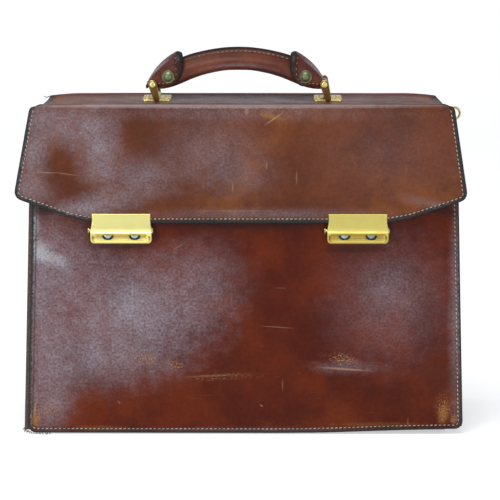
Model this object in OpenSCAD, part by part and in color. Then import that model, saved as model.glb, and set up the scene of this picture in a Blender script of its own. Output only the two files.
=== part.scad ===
/* [Case] */
// Width of the front and back panels at the base
base_w = 410; // [380:2:460]
// Width of the panels at the top of the case
top_w = 392; // [380:2:400]
// Width of the top where it turns down into the back
shoulder_w = 356; // [344:2:366]
// Depth of the case at the base, over the leather
base_d = 116; // [100:2:150]
// Depth of the case at the top, over the leather
top_d = 56; // [54:2:80]
// Height of the case without its handle
case_h = 313; // [285:2:351]
// Radius of the lower corners of the panels
corner_r = 8; // [3:1:16]
// Height of the lower edges of the panels above the floor
panel_lift = 1; // [0.6:0.2:2]
// Outer radius where the back panel turns over into the top
shoulder_r = 12; // [8:1:13]

/* [Leather, boards and linings] */
// Thickness of the leather of the panels and the base
leather_t = 3; // [2.4:0.2:4]
// Thickness of the stiffening boards
board_t = 1.6; // [1:0.2:3]
// Thickness of the linings
lining_t = 1; // [0.6:0.2:2]
// Thickness of the gusset leather
gusset_t = 1.6; // [1.2:0.2:2.4]
// Width of the gusset flanges that are sewn to the panels
flange_w = 14; // [11:1:18]
// Depth of the gusset fold at the base
fold_base = 4; // [2:1:8]
// Depth of the gusset fold at its upper edge
fold_top = 30; // [20:2:40]
// Distance of the gussets' upper edges below the top
gusset_drop = 28; // [27:1:60]
// Distance of the front panel's upper edge below the crease
front_drop = 22; // [22:1:24]
// Thickness of the divider
divider_t = 2.4; // [1.6:0.2:4]
// Inset of the boards and linings from the gusset flanges
board_inset = 3.5; // [3:0.5:6]

/* [Flap] */
// Width of the flap at the crease
flap_top_w = 386; // [360:1:386]
// Width of the flap at its side corners
flap_low_w = 420; // [400:1:440]
// Distance from the crease down to the side corners
flap_side = 82; // [70:1:94]
// Distance from the crease down to the flap's lower edge
flap_len = 109; // [103:1:130]
// Length of the straight lower edge
flap_flat_w = 286; // [284:2:330]
// Radius of the side corners of the flap
flap_corner_r = 9; // [4:1:14]
// Thickness of the flap's outer leather
flap_t = 2.6; // [2:0.2:3.4]
// Thickness of the flap's lining
flap_lining_t = 1.4; // [1:0.2:2]
// Gap between the flap's lining and the front panel
flap_gap = 2; // [1.8:0.2:3]
// Radius of the rounded crease
crease_r = 2.6; // [2.4:0.2:3.4]

/* [Locks] */
// Distance of each lock's centre from the middle of the case
lock_x = 110.5; // [90:0.5:112]
// Distance of the pair of locks to the left of the middle
lock_shift = 2.5; // [0:0.5:4]
// Width of a lock
lock_w = 55; // [52:1:60]
// Height of the lock above the flap's lower edge
lock_up = 9; // [8:0.5:11]
// Height of the lock below the flap's lower edge
lock_down = 20; // [20:0.5:24]
// Height of the lock's lip above the front panel
lip_w = 14.8; // [13.6:0.2:17]
// Thickness of the lock's upper plate
plate_lock_t = 1.8; // [1.4:0.2:2.4]
// Distance of a lock's dials from its middle
dial_x = 12.5; // [12:0.5:15]
// Radius of a dial
dial_r = 5.6; // [5:0.1:5.8]
// Thickness of a dial
dial_t = 1.3; // [1:0.1:1.4]
// Radius of a dial's spindle
spindle_r = 1.2; // [0.8:0.1:1.5]
// Radius of the release bar
bar_r = 1.4; // [1.2:0.1:1.4]
// Radius of the release bar's end buttons
button_r = 3.1; // [2.8:0.1:3.1]
// Length of the release bar's end buttons
button_l = 3.2; // [2:0.2:5]
// Travel of the release bar
bar_travel = 2.4; // [2.1:0.1:2.5]
// Radius of the strike post
post_r = 2.6; // [2.3:0.1:2.8]
// Radius of the neck that the release bar grips
neck_r = 1.6; // [1.2:0.1:1.6]

/* [Handle] */
// Place of the handle in front of the middle of the base
handle_y = -5; // [-6:0.5:-4]
// Distance of the handle's pins from its middle
pin_x = 80; // [70:0.5:95]
// Length of a stirrup between its two pivots
link_l = 13.6; // [13.4:0.2:18]
// Lean of the stirrups to the left at rest
handle_lean = 15; // [0:1:20]
// Rise of the handle's arch above its pins
arch_rise = 22.4; // [18:0.2:30]
// Height of the grip in its middle
grip_h = 20.8; // [18:0.2:24]
// Width of the grip in its middle, front to back
grip_w = 25; // [22:0.5:26]
// Radius of the handle pins and the stirrups' lower rods
pin_r = 2; // [1.6:0.1:2.2]
// Thickness of a stirrup's legs
leg_t = 3; // [2:0.2:4]
// Length of a handle plate along the case
plate_w = 26; // [22:1:30]
// Length of a handle plate across the case
plate_d = 28; // [28:1:32]
// Thickness of a handle plate
plate_t = 1.6; // [1.4:0.2:2.4]
// Radius of the barrel on a handle plate
barrel_r = 3; // [2.8:0.1:3.2]
// Distance of the studs from the middle of the handle
stud_x = 64; // [60:0.5:68]
// Radius of a stud's head
stud_r = 6; // [5:0.2:7]

/* [Top strip and strap rings] */
// Width of the steel strip under the top leather
strip_w = 42; // [36:1:44]
// Thickness of the steel strip
strip_t = 3; // [2:0.5:4]
// Distance of the rings' pivots outside the ends of the steel strip
ring_out = 20.6; // [20:0.2:22]
// Distance of the ring's centre below the top
ring_drop = 13.6; // [12.6:0.2:16]
// Radius of a ring, to the middle of its wire
ring_r = 5.8; // [5.4:0.2:7]
// Radius of a ring's wire
wire_r = 1.1; // [0.9:0.1:1.2]

/* [Fits] */
// Gap between leather edges that move past each other
soft_gap = 0.3; // [0.3:0.05:0.5]
// Radial clearance of pins, rods and bars in their bores
fit_gap = 0.05; // [0.02:0.01:0.08]
// Gap around the steel core inside the grip
core_gap = 0.1; // [0.05:0.05:0.2]

/* [Hidden] */
$fn = 48;

leather = [0.43, 0.24, 0.17];
leather_dark = [0.33, 0.15, 0.11];
cloth = [0.56, 0.45, 0.33];
card = [0.62, 0.55, 0.44];
brass = [0.80, 0.70, 0.38];
steel = [0.62, 0.63, 0.65];
bronze = [0.44, 0.46, 0.32];

lean = atan((base_d - top_d) / 2 / case_h);
flap_total_t = flap_t + flap_lining_t;
axis_w = flap_gap + flap_total_t / 2;
axis_z = case_h - crease_r;
axis_v = (axis_z - panel_lift - axis_w * sin(lean)) / cos(lean);
axis_y = -base_d / 2 + axis_v * sin(lean) - axis_w * cos(lean);
front_v = axis_v - front_drop;
lock_v = axis_v - flap_len;
wall_t = leather_t + board_t + lining_t;
base_stack = leather_t + board_t + lining_t;
board_v = base_stack + 2;
gusset_h = case_h - gusset_drop;
lap_t = 0.8;

function half_w(z) = base_w / 2 - (base_w - top_w) / 2 * z / case_h;
function gusset_x(z) = half_w(z) - flange_w;
function fold(z) = fold_base + (fold_top - fold_base) * z / gusset_h;
function lock_at(side) = side * lock_x - lock_shift;
function front_y(z, w) = -base_d / 2 + (z - panel_lift) * tan(lean) - w / cos(lean);
function unit(a) = a / norm(a);
function arc(c, r, a0, a1, n = 6) = [for (i = [0:n]) let (a = a0 + (a1 - a0) * i / n)
    c + r * [cos(a), sin(a)]];
function mirrored(p) = [for (i = [len(p) - 1:-1:0]) [-p[i].x, p[i].y]];
function fillet(a, b, c, r, n = 6) =
    let (u = unit(a - b), v = unit(c - b), h = acos(u * v) / 2, m = b + unit(u + v) * r / sin(h))
    let (p = b + u * r / tan(h) - m, q = b + v * r / tan(h) - m)
    [for (i = [0:n]) m + r * unit(p * (n - i) + q * i)];

// Local frames: x along the case, y up the wall; z points outwards in front and inwards at the back
module front_frame() {
    translate([0, -base_d / 2, panel_lift]) rotate([90 - lean, 0, 0]) children();
}
module back_frame() {
    translate([0, base_d / 2, panel_lift]) rotate([90 + lean, 0, 0]) children();
}
module lock_frame(side) {
    front_frame() translate([lock_at(side), lock_v, 0]) children();
}
module slab(z0, t) {
    translate([0, 0, z0]) linear_extrude(t) children();
}
module along_x(w) {
    rotate([90, 0, 90]) translate([0, 0, -w / 2]) linear_extrude(w) children();
}
module x_rod(r, l) {
    rotate([0, 90, 0]) cylinder(r = r, h = l, center = true);
}
module y_rod(r, l) {
    rotate([90, 0, 0]) cylinder(r = r, h = l, center = true);
}
module both_sides() {
    for (side = [-1, 1]) translate([lock_at(side), lock_v, 0]) children();
}

// Panels, boards and linings
module wall_outline(inset, v0, v1, r) {
    right = concat(arc([half_w(v0) - inset - r, v0 + r], r, -90, 0), [[half_w(v1) - inset, v1]]);
    polygon(concat(right, mirrored(right)));
}
module board_outline(v1) {
    wall_outline(flange_w + board_inset, board_v, v1, corner_r);
}
strike_rivet_x = 16;
strike_rivet_v = -12.5;
rivet_r = 1.3;
module strike_rivet_places() {
    both_sides() for (x = [-1, 1]) translate([x * strike_rivet_x, strike_rivet_v, 0]) children();
}
module strike_rivet_holes() {
    strike_rivet_places() translate([0, 0, -wall_t - 1]) cylinder(r = rivet_r + fit_gap, h = wall_t + 2);
}
module front_panel() {
    color(leather_dark) front_frame() difference() {
        slab(-leather_t, leather_t) wall_outline(0, 0, front_v, corner_r);
        strike_rivet_holes();
    }
}
module front_board() {
    color(card) front_frame() difference() {
        slab(-leather_t - board_t, board_t) board_outline(front_v - 2);
        strike_rivet_holes();
    }
}
module front_lining() {
    color(cloth) front_frame() difference() {
        slab(-wall_t, lining_t) board_outline(front_v - 1);
        strike_rivet_holes();
    }
}
back_turn = base_d / 2 * cos(lean) + panel_lift * sin(lean);
turn_z = case_h - shoulder_r;
turn_y = (back_turn - shoulder_r - turn_z * sin(lean)) / cos(lean);
top_front_y = axis_y + crease_r + soft_gap;
corner_z = gusset_h + 2;
function turn_path(t) = concat([[top_front_y, case_h - t]],
    arc([turn_y, turn_z], shoulder_r - t, 90, lean, 8),
    [[base_d / 2 - t / cos(lean), panel_lift]]);
module back_panel() {
    outer = turn_path(0);
    inner = turn_path(leather_t);
    color(leather) difference() {
        intersection() {
            along_x(base_w) polygon(concat(outer, [for (i = [len(inner) - 1:-1:0]) inner[i]]));
            rotate([90, 0, 0]) translate([0, 0, -base_d]) linear_extrude(2 * base_d)
                wall_outline(0, panel_lift, case_h + 1, corner_r);
        }
        plate_rivet_places() translate([0, 0, -leather_t - 1])
            cylinder(r = rivet_r + fit_gap, h = leather_t + 2);
        for (side = [0, 1]) mirror([side, 0, 0]) {
            linear_extrude(case_h + 1) polygon([[flap_top_w / 2, top_front_y - 1], [flap_top_w / 2, top_front_y],
                [shoulder_w / 2, turn_y], [base_w, turn_y], [base_w, top_front_y - 1]]);
            rotate([90, 0, 0]) translate([0, 0, -base_d]) linear_extrude(base_d - turn_y)
                polygon([[half_w(corner_z), corner_z], [shoulder_w / 2, case_h], [shoulder_w / 2, case_h + 1],
                    [base_w, case_h + 1], [base_w, corner_z]]);
        }
    }
}
back_top_v = turn_z - 20;
module back_board() {
    color(card) back_frame() slab(leather_t, board_t) board_outline(back_top_v);
}
module back_lining() {
    color(cloth) back_frame() slab(leather_t + board_t, lining_t) board_outline(back_top_v + 4);
}

// Base
base_front_y = -base_d / 2 + leather_t + soft_gap + 0.45;
base_back_y = base_d / 2 - leather_t - soft_gap;
module base_sheet(z0, t, inset) {
    w = 2 * (gusset_x(0) + gusset_t - inset);
    translate([-w / 2, base_front_y + inset, z0]) cube([w, base_back_y - base_front_y - 2 * inset, t]);
}
module base_leather() {
    color(leather_dark) base_sheet(0, leather_t, 0);
}
module base_board() {
    color(card) base_sheet(leather_t, board_t, 3);
}
module base_lining() {
    color(cloth) base_sheet(leather_t + board_t, lining_t, 3);
}

// One leaf of a folded gusset: a flange behind the panel's edge and a sheet in to the fold
gusset_z = base_stack + soft_gap + 0.4;
valley_y = divider_t / 2 + soft_gap;
function leaf_ring(z) = let (x = gusset_x(z), y = front_y(z, -leather_t - gusset_t / 2))
    [[x, y, z], [x + gusset_t, y, z],
    [x - fold(z) + gusset_t, -valley_y, z], [x - fold(z), -valley_y, z]];
module front_leaf() {
    v1 = gusset_h - 2;
    v0 = corner_r + 3;
    polyhedron(concat(leaf_ring(gusset_z), leaf_ring(gusset_h)), [[0, 1, 2], [0, 2, 3], [6, 5, 4],
        [7, 6, 4], [4, 5, 1], [4, 1, 0], [5, 6, 2], [5, 2, 1], [6, 7, 3], [6, 3, 2], [7, 4, 0], [7, 0, 3]]);
    front_frame() slab(-leather_t - gusset_t, gusset_t) polygon([[gusset_x(v0) + 0.6, v0],
        [half_w(v0) - 1, v0], [half_w(v1) - 1, v1], [gusset_x(v1) + 0.6, v1]]);
}
module gusset_front_left() {
    color(leather_dark) mirror([1, 0, 0]) front_leaf();
}
module gusset_front_right() {
    color(leather_dark) front_leaf();
}
module gusset_back_left() {
    color(leather_dark) mirror([1, 0, 0]) mirror([0, 1, 0]) front_leaf();
}
module gusset_back_right() {
    color(leather_dark) mirror([0, 1, 0]) front_leaf();
}
divider_z = base_stack + 0.5;
module divider() {
    low = gusset_x(divider_z) - fold(divider_z) + gusset_t;
    high = gusset_x(gusset_h) - fold(gusset_h) + gusset_t;
    color(cloth) rotate([90, 0, 0]) translate([0, 0, -divider_t / 2]) linear_extrude(divider_t)
        polygon([[-low, divider_z], [low, divider_z], [high, gusset_h - 4], [-high, gusset_h - 4]]);
}

// Steel strip under the top leather
strip_z = case_h - leather_t - strip_t;
strip_l = shoulder_w - 12;
module top_strip() {
    color(steel) difference() {
        translate([-strip_l / 2, handle_y - strip_w / 2, strip_z]) cube([strip_l, strip_w, strip_t]);
        plate_rivet_places() translate([0, 0, -leather_t - strip_t - 1])
            cylinder(r = rivet_r + fit_gap, h = strip_t + 2);
        bracket_rivet_places() translate([0, 0, strip_z - 1])
            cylinder(r = rivet_r + fit_gap, h = strip_t + 2);
    }
}
bracket_l = 24;
module top_lining() {
    l = strip_l - 2 * bracket_l - 12;
    color(cloth) difference() {
        translate([-l / 2, handle_y - strip_w / 2, strip_z - lining_t]) cube([l, strip_w, lining_t]);
        plate_rivet_places() translate([0, 0, -leather_t - strip_t - lining_t - 1])
            cylinder(r = rivet_r + fit_gap, h = lining_t + 2);
    }
}

// Flap
module flap_outline(top_s) {
    a = [flap_top_w / 2 + (flap_low_w - flap_top_w) / 2 * top_s / flap_side, -top_s];
    b = [flap_low_w / 2, -flap_side];
    c = [flap_flat_w / 2, -flap_len];
    right = concat([a], fillet(a, b, c, flap_corner_r), fillet(b, c, [0, -flap_len], 20, 3));
    polygon(concat(right, mirrored(right)));
}
hasp_rivet_x = 20;
hasp_rivet_v = lock_up / 2;
module hasp_rivet_places() {
    both_sides() for (x = [-1, 1]) translate([x * hasp_rivet_x, hasp_rivet_v, 0]) children();
}
module hasp_rivet_holes() {
    hasp_rivet_places() cylinder(r = rivet_r + fit_gap, h = flap_face_w + plate_lock_t - 0.8);
}
flap_face_w = flap_gap + flap_total_t;
module flap() {
    color(leather) front_frame() difference() {
        union() {
            translate([0, axis_v, 0]) slab(flap_gap + flap_lining_t, flap_t) flap_outline(0);
            translate([0, axis_v, axis_w]) x_rod(crease_r, flap_top_w);
        }
        hasp_rivet_holes();
    }
}
module flap_lining() {
    color(cloth) front_frame() difference() {
        translate([0, axis_v, 0]) slab(flap_gap, flap_lining_t) flap_outline(crease_r + 1);
        hasp_rivet_holes();
    }
}

// Locks, seen in the lock's own frame: y = 0 on the flap's lower edge, z = 0 on the front panel
hasp_back_w = 1.2;
floor_w = 6.6;
shell_t = 1.4;
recess_top = -8.5;
recess_bottom = -17;
dial_v = -10.4;
bar_v = -7.2;
bar_w = 3.5;
post_v = -12.5;
end_wall = 3;
pocket_x = lock_w / 2 - end_wall;
sweep_v = 3;
function lip_curve() = [for (a = [0:9:90]) [sweep_v - (sweep_v - recess_top) * sin(a),
    flap_face_w + plate_lock_t + (lip_w - flap_face_w - plate_lock_t) * (1 - cos(a))]];
module hasp_profile() {
    polygon(concat([[lock_up, flap_face_w], [lock_up, flap_face_w + plate_lock_t]], lip_curve(),
        [[recess_bottom - 1, lip_w - 1], [-lock_down, lip_w - 3], [-lock_down, hasp_back_w],
        [-0.6, hasp_back_w], [-0.6, flap_face_w]]));
}
module recess() {
    slot_w = floor_w + dial_t + 0.5;
    intersection() {
        slab(floor_w, lip_w) recess_outline();
        along_x(lock_w) polygon([[recess_top, lip_w + 1], [recess_top, lip_w - 0.4],
            [dial_v - 0.2, slot_w], [dial_v - 0.2, floor_w],
            [recess_bottom + 0.6, floor_w], [recess_bottom, lip_w], [recess_bottom, lip_w + 1]]);
    }
}
module recess_outline() {
    x = lock_w / 2 - 2.5;
    right = concat(fillet([0, recess_bottom], [x, recess_bottom], [x, recess_top], 2.4),
        fillet([x, recess_bottom], [x, recess_top], [0, recess_top], 2.4));
    polygon(concat(right, mirrored(right)));
}
module hasp(side) {
    color(brass) lock_frame(side) difference() {
        along_x(lock_w) hasp_profile();
        recess();
        for (x = [-1, 1]) translate([x * dial_x, dial_v, 0]) {
            translate([0, 0, floor_w]) cylinder(r = dial_r + 0.3, h = dial_t + 0.5);
            cylinder(r = spindle_r + fit_gap, h = floor_w + 1);
        }
        translate([-pocket_x, -lock_down + 1.6, 0])
            cube([2 * pocket_x, lock_down - 1.6 - 2.2, floor_w - shell_t]);
        translate([0, bar_v, bar_w]) x_rod(bar_r + fit_gap, lock_w + 2);
        translate([-lock_at(side), -lock_v, 0]) hasp_rivet_holes();
    }
}
module hasp_left() {
    hasp(-1);
}
module hasp_right() {
    hasp(1);
}
module lock_cover(side) {
    color(brass) lock_frame(side) difference() {
        translate([-pocket_x + fit_gap, -lock_down + 1.6 + fit_gap, hasp_back_w])
            cube([2 * (pocket_x - fit_gap), lock_down - 3.8 - 2 * fit_gap, lap_t]);
        translate([0, post_v, 0]) cylinder(r = post_r + 0.6, h = hasp_back_w + lap_t + 1);
    }
}
module lock_cover_left() {
    lock_cover(-1);
}
module lock_cover_right() {
    lock_cover(1);
}
module hasp_backing(side) {
    color(steel) front_frame() difference() {
        translate([lock_at(side) - lock_w / 2 + 2, lock_v + 0.6, flap_gap - lap_t])
            cube([lock_w - 4, lock_up - 1, lap_t]);
        hasp_rivet_holes();
    }
}
module hasp_backing_left() {
    hasp_backing(-1);
}
module hasp_backing_right() {
    hasp_backing(1);
}
module hasp_rivets() {
    color(steel) front_frame() hasp_rivet_places() {
        translate([0, 0, flap_gap - lap_t - 0.6]) cylinder(r = rivet_r + 1, h = 0.6);
        translate([0, 0, flap_gap - lap_t - 0.3])
            cylinder(r = rivet_r, h = flap_total_t + lap_t + 0.3 + plate_lock_t - 0.9);
    }
}
module dial(side, x) {
    color(steel) lock_frame(side) translate([x * dial_x, dial_v, 0]) {
        translate([0, 0, floor_w + 0.2]) cylinder(r = dial_r, h = dial_t);
        translate([0, 0, floor_w - shell_t - 1]) cylinder(r = spindle_r, h = shell_t + 1.6);
        translate([0, 0, floor_w - shell_t - 1.1]) cylinder(r = spindle_r + 0.4, h = 0.9);
    }
}
module dial_left_1() {
    dial(-1, -1);
}
module dial_left_2() {
    dial(-1, 1);
}
module dial_right_1() {
    dial(1, -1);
}
module dial_right_2() {
    dial(1, 1);
}
button_gap = 0.3;
tongue_end = -post_r - 0.6;
tongue_t = 1;
module release_bar(side) {
    color(brass) lock_frame(side) {
        difference() {
            union() {
                translate([-bar_travel / 2, bar_v, bar_w])
                    x_rod(bar_r, lock_w + bar_travel + 2 * button_gap + 2 * button_l - 1);
                translate([tongue_end - 5.8, post_v - 2.7, bar_w - tongue_t / 2])
                    cube([5.8, bar_v - post_v + 2.7, tongue_t]);
            }
            translate([tongue_end - bar_travel + 0.6, post_v - neck_r - 0.2, 0])
                cube([post_r * 3, 2 * neck_r + 0.4, 2 * bar_w]);
        }
        translate([-lock_w / 2 - button_gap - bar_travel - button_l / 2, bar_v, bar_w]) x_rod(button_r, button_l);
        translate([lock_w / 2 + button_gap + button_l / 2, bar_v, bar_w]) x_rod(button_r, button_l);
    }
}
module release_bar_left() {
    release_bar(-1);
}
module release_bar_right() {
    release_bar(1);
}
strike_in = 2.5;
strike_low = 5.5;
strike_h = 14;
module strike(side) {
    color(bronze) lock_frame(side) {
        difference() {
            translate([-lock_w / 2 + strike_in, post_v - strike_low, 0])
                cube([lock_w - 2 * strike_in, strike_h, lap_t]);
            translate([-lock_at(side), -lock_v, 0]) strike_rivet_holes();
        }
        translate([0, post_v, lap_t / 2]) cylinder(r = post_r, h = bar_w - tongue_t / 2 - 0.2 - lap_t / 2);
        translate([0, post_v, 1]) cylinder(r = neck_r, h = bar_w);
        translate([0, post_v, bar_w + tongue_t / 2 + 0.2]) cylinder(r = post_r, h = 0.6);
    }
}
module strike_left() {
    strike(-1);
}
module strike_right() {
    strike(1);
}
backing_in = 6;
backing_h = 8;
module strike_backing(side) {
    color(steel) front_frame() difference() {
        translate([lock_at(side) - lock_w / 2 + backing_in, lock_v + post_v - backing_h / 2, -wall_t - lap_t])
            cube([lock_w - 2 * backing_in, backing_h, lap_t]);
        strike_rivet_holes();
    }
}
module strike_backing_left() {
    strike_backing(-1);
}
module strike_backing_right() {
    strike_backing(1);
}
module strike_rivets() {
    color(steel) front_frame() strike_rivet_places() {
        translate([0, 0, -wall_t - lap_t - 0.6]) cylinder(r = rivet_r + 1, h = 0.6);
        translate([0, 0, -wall_t - lap_t - 0.3]) cylinder(r = rivet_r, h = wall_t + 2 * lap_t + 0.2);
    }
}

// Handle plates and stirrups
knuckle_z = case_h + plate_t / 2 + barrel_r - 0.8;
rivet_out = plate_w / 2 - 4;
module plate_rivet_places() {
    for (side = [-1, 1], x = [-1, 1], y = [-1, 1])
        translate([side * pin_x + x * rivet_out, handle_y + y * plate_d / 4, case_h]) children();
}
module handle_plate(side) {
    r = 4;
    x = plate_w / 2;
    y = plate_d / 2;
    right = concat(arc([x - r, -y + r], r, -90, 0), arc([x - r, y - r], r, 0, 90));
    color(brass) difference() {
        translate([side * pin_x, handle_y, 0]) difference() {
            union() {
                translate([0, 0, case_h]) linear_extrude(plate_t) polygon(concat(right, mirrored(right)));
                translate([0, 0, knuckle_z]) y_rod(barrel_r, plate_d);
            }
            translate([0, 0, knuckle_z]) y_rod(pin_r + fit_gap, plate_d + 2);
            translate([-x, -y - 1, case_h - barrel_r]) cube([plate_w, plate_d + 2, barrel_r]);
        }
        plate_rivet_places() translate([0, 0, -1]) cylinder(r = rivet_r + fit_gap, h = plate_t + 2);
    }
}
module handle_plate_left() {
    handle_plate(-1);
}
module handle_plate_right() {
    handle_plate(1);
}
module handle_plate_rivets() {
    depth = leather_t + strip_t + lining_t;
    color(brass) plate_rivet_places() {
        translate([0, 0, -depth - 0.3]) cylinder(r = rivet_r, h = depth + plate_t + 0.5);
        translate([0, 0, plate_t]) cylinder(r = rivet_r + 0.8, h = 0.5);
        translate([0, 0, -depth - 0.6]) cylinder(r = rivet_r + 1, h = 0.6);
    }
}
leg_y = plate_d / 2 + soft_gap;
module leg_profile() {
    polygon([[-2.1, 0], [2.1, 0], [3.5, link_l], [-3.5, link_l]]);
    circle(r = 3);
    translate([0, link_l]) circle(r = 4.1);
}
module bail_frame(side) {
    translate([side * pin_x, handle_y, knuckle_z]) rotate([0, -handle_lean, 0]) children();
}
module bail(side) {
    color(brass) bail_frame(side) {
        y_rod(pin_r, 2 * leg_y + leg_t);
        for (y = [leg_y + leg_t, -leg_y]) translate([0, y, 0]) rotate([90, 0, 0]) difference() {
            linear_extrude(leg_t) leg_profile();
            translate([0, link_l, -1]) cylinder(r = pin_r + fit_gap, h = leg_t + 2);
        }
    }
}
module bail_left() {
    bail(-1);
}
module bail_right() {
    bail(1);
}
module handle_pin(side) {
    color(brass) bail_frame(side) translate([0, 0, link_l]) {
        y_rod(pin_r, 2 * (leg_y + leg_t) + 1);
        for (y = [-1, 1]) translate([0, y * (leg_y + leg_t + 0.5), 0]) y_rod(pin_r + 1.2, 0.8);
    }
}
module handle_pin_left() {
    handle_pin(-1);
}
module handle_pin_right() {
    handle_pin(1);
}

// Handle: an arch in its own frame, with its middle over x = 0 and its pins at z = 0
module handle_frame() {
    translate([-link_l * sin(handle_lean), handle_y, knuckle_z + link_l * cos(handle_lean)]) children();
}
function arch_z(x) = arch_rise * (1 - pow(x / pin_x, 2));
function arch_slope(x) = -2 * arch_rise * x / pin_x / pin_x;
function power(a, p) = sign(a) * pow(abs(a), p);
function arch_ring(x, h, w, n) = let (t = unit([1, 0, arch_slope(x)]), up = [-t.z, 0, t.x])
    [for (i = [0:n - 1]) let (a = 360 * i / n)
        [x, 0, arch_z(x)] + up * h * power(cos(a), 0.85) + [0, 1, 0] * w * power(sin(a), 0.7)];
end_h = 5.8;
end_w = 9.8;
function grip_half_h(x) = grip_h / 2 - (grip_h / 2 - end_h) * pow(abs(x) / pin_x, 4);
function grip_half_w(x) = grip_w / 2 - (grip_w / 2 - end_w) * pow(abs(x) / pin_x, 4);
module ring_tube(rings, n) {
    m = len(rings);
    side_faces = [for (j = [0:m - 2], i = [0:n - 1]) let (k = (i + 1) % n, a = j * n, b = a + n)
        each [[a + i, b + i, b + k], [a + i, b + k, a + k]]];
    ends = [for (i = [1:n - 2]) each [[0, i, i + 1], [(m - 1) * n, (m - 1) * n + i + 1, (m - 1) * n + i]]];
    polyhedron([for (r = rings) each r], concat(side_faces, ends));
}
core_h = 7;
core_t = 4;
eye_r = 3.4;
module core_shape(g) {
    steps = 24;
    top = [for (i = [0:steps]) let (x = pin_x * (2 * i / steps - 1)) [x, arch_z(x) + core_h / 2 + g]];
    low = [for (i = [steps:-1:0]) let (x = pin_x * (2 * i / steps - 1)) [x, arch_z(x) - core_h / 2 - g]];
    rotate([90, 0, 0]) translate([0, 0, -core_t / 2 - g]) linear_extrude(core_t + 2 * g)
        polygon(concat(top, low));
    for (side = [-1, 1]) translate([side * pin_x, 0, 0]) y_rod(eye_r + g, core_t + 2 * g);
}
module pin_bores(r) {
    for (side = [-1, 1]) translate([side * pin_x, 0, 0]) y_rod(r, 40);
}
stud_shank_r = 1.5;
module stud_bores() {
    for (side = [-1, 1]) translate([side * stud_x, 0, arch_z(stud_x)]) y_rod(stud_shank_r + fit_gap, 40);
}
module handle_core() {
    color(steel) handle_frame() difference() {
        core_shape(0);
        pin_bores(pin_r + fit_gap);
        stud_bores();
    }
}
module handle_grip() {
    sides = 16;
    steps = 28;
    reach = pin_x + 2;
    color(leather_dark) handle_frame() difference() {
        ring_tube([for (i = [0:steps]) let (x = reach * (2 * i / steps - 1))
            arch_ring(x, grip_half_h(x), grip_half_w(x), sides)], sides);
        core_shape(core_gap);
        pin_bores(pin_r + 0.5);
        stud_bores();
    }
}
cap_in = 54;
cap_t = 2;
cap_mouth_h = 13.4;
cap_mouth_w = 14.2;
cap_end_h = 8.2;
cap_reach = pin_x + 3.6;
cap_end_w = 13;
function cap_mix(x, a, b) = a + (b - a) * (x - cap_in) / (pin_x - cap_in);
function cap_h(x) = x < pin_x ? cap_mix(x, cap_mouth_h, cap_end_h) : cap_end_h;
function cap_w(x) = x < pin_x ? cap_mix(x, cap_mouth_w, cap_end_w) : cap_end_w;
module cap_body() {
    n = 16;
    outer = [for (i = [0:6]) let (x = cap_in + (cap_reach - cap_in) * i / 6)
        arch_ring(x, cap_h(x), cap_w(x), n)];
    tip = [for (a = [30, 60, 84]) arch_ring(cap_reach + 2.8 * sin(a), cap_end_h * cos(a), cap_end_w * cos(a), n)];
    inner = [for (i = [0:6]) let (x = cap_reach + (cap_in - cap_reach) * i / 6)
        arch_ring(x, cap_h(x) - cap_t, cap_w(x) - cap_t, n)];
    rings = concat(outer, tip, inner);
    m = len(rings);
    turn = len(outer) + len(tip);
    tube = [for (j = [0:m - 1], i = [0:n - 1]) if (j != turn - 1)
        let (k = (i + 1) % n, a = j * n, b = ((j + 1) % m) * n)
        each [[a + i, b + i, b + k], [a + i, b + k, a + k]]];
    ends = [for (i = [1:n - 2]) each [[turn * n - n, turn * n - n + i + 1, turn * n - n + i],
        [turn * n, turn * n + i, turn * n + i + 1]]];
    polyhedron([for (r = rings) each r], concat(tube, ends));
}
module handle_cap(side) {
    color(leather) handle_frame() difference() {
        mirror([side < 0 ? 1 : 0, 0, 0]) cap_body();
        pin_bores(pin_r + 0.5);
        stud_bores();
    }
}
module handle_cap_left() {
    handle_cap(-1);
}
module handle_cap_right() {
    handle_cap(1);
}
module handle_stud(side) {
    reach = cap_w(stud_x - stud_r) + 0.05;
    color(bronze) handle_frame() translate([side * stud_x, 0, arch_z(stud_x)]) {
        y_rod(stud_shank_r, 2 * reach + 1);
        for (a = [90, -90]) rotate([a, 0, 0]) translate([0, 0, reach]) {
            cylinder(r = stud_r, h = 0.8);
            intersection() {
                translate([0, 0, 3 - stud_r * 1.6]) sphere(r = stud_r * 1.6);
                cylinder(r = stud_r - 0.8, h = 4);
            }
        }
    }
}
module handle_stud_left() {
    handle_stud(-1);
}
module handle_stud_right() {
    handle_stud(1);
}

// Strap rings and their brackets at the ends of the steel strip
ring_x = strip_l / 2 + ring_out;
ring_z = case_h - ring_drop;
tab_t = 1.4;
tab_r = 2.6;
bracket_t = 2;
bracket_w = 12;
module bracket_rivet_places() {
    for (side = [-1, 1], y = [-1, 1])
        translate([side * (strip_l / 2 - bracket_l / 2), handle_y + y * bracket_w / 4, 0]) children();
}
module ring_bracket(side) {
    mirror([side < 0 ? 1 : 0, 0, 0]) color(brass) difference() {
        union() {
            translate([strip_l / 2 - bracket_l, handle_y - bracket_w / 2, strip_z - bracket_t])
                cube([bracket_l, bracket_w, bracket_t]);
            translate([strip_l / 2 - bracket_t, handle_y - bracket_w / 2, ring_z - tab_t / 2])
                cube([bracket_t, bracket_w, strip_z - ring_z + tab_t / 2]);
            translate([strip_l / 2 - bracket_t, handle_y - tab_r, ring_z - tab_t / 2])
                cube([ring_x - strip_l / 2 + bracket_t, 2 * tab_r, tab_t]);
            translate([ring_x, handle_y, ring_z - tab_t / 2]) cylinder(r = tab_r, h = tab_t);
        }
        translate([ring_x, handle_y, ring_z - tab_t]) cylinder(r = wire_r + 0.15, h = 2 * tab_t);
        bracket_rivet_places() translate([0, 0, strip_z - bracket_t - 1])
            cylinder(r = rivet_r + fit_gap, h = bracket_t + 2);
    }
}
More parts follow.
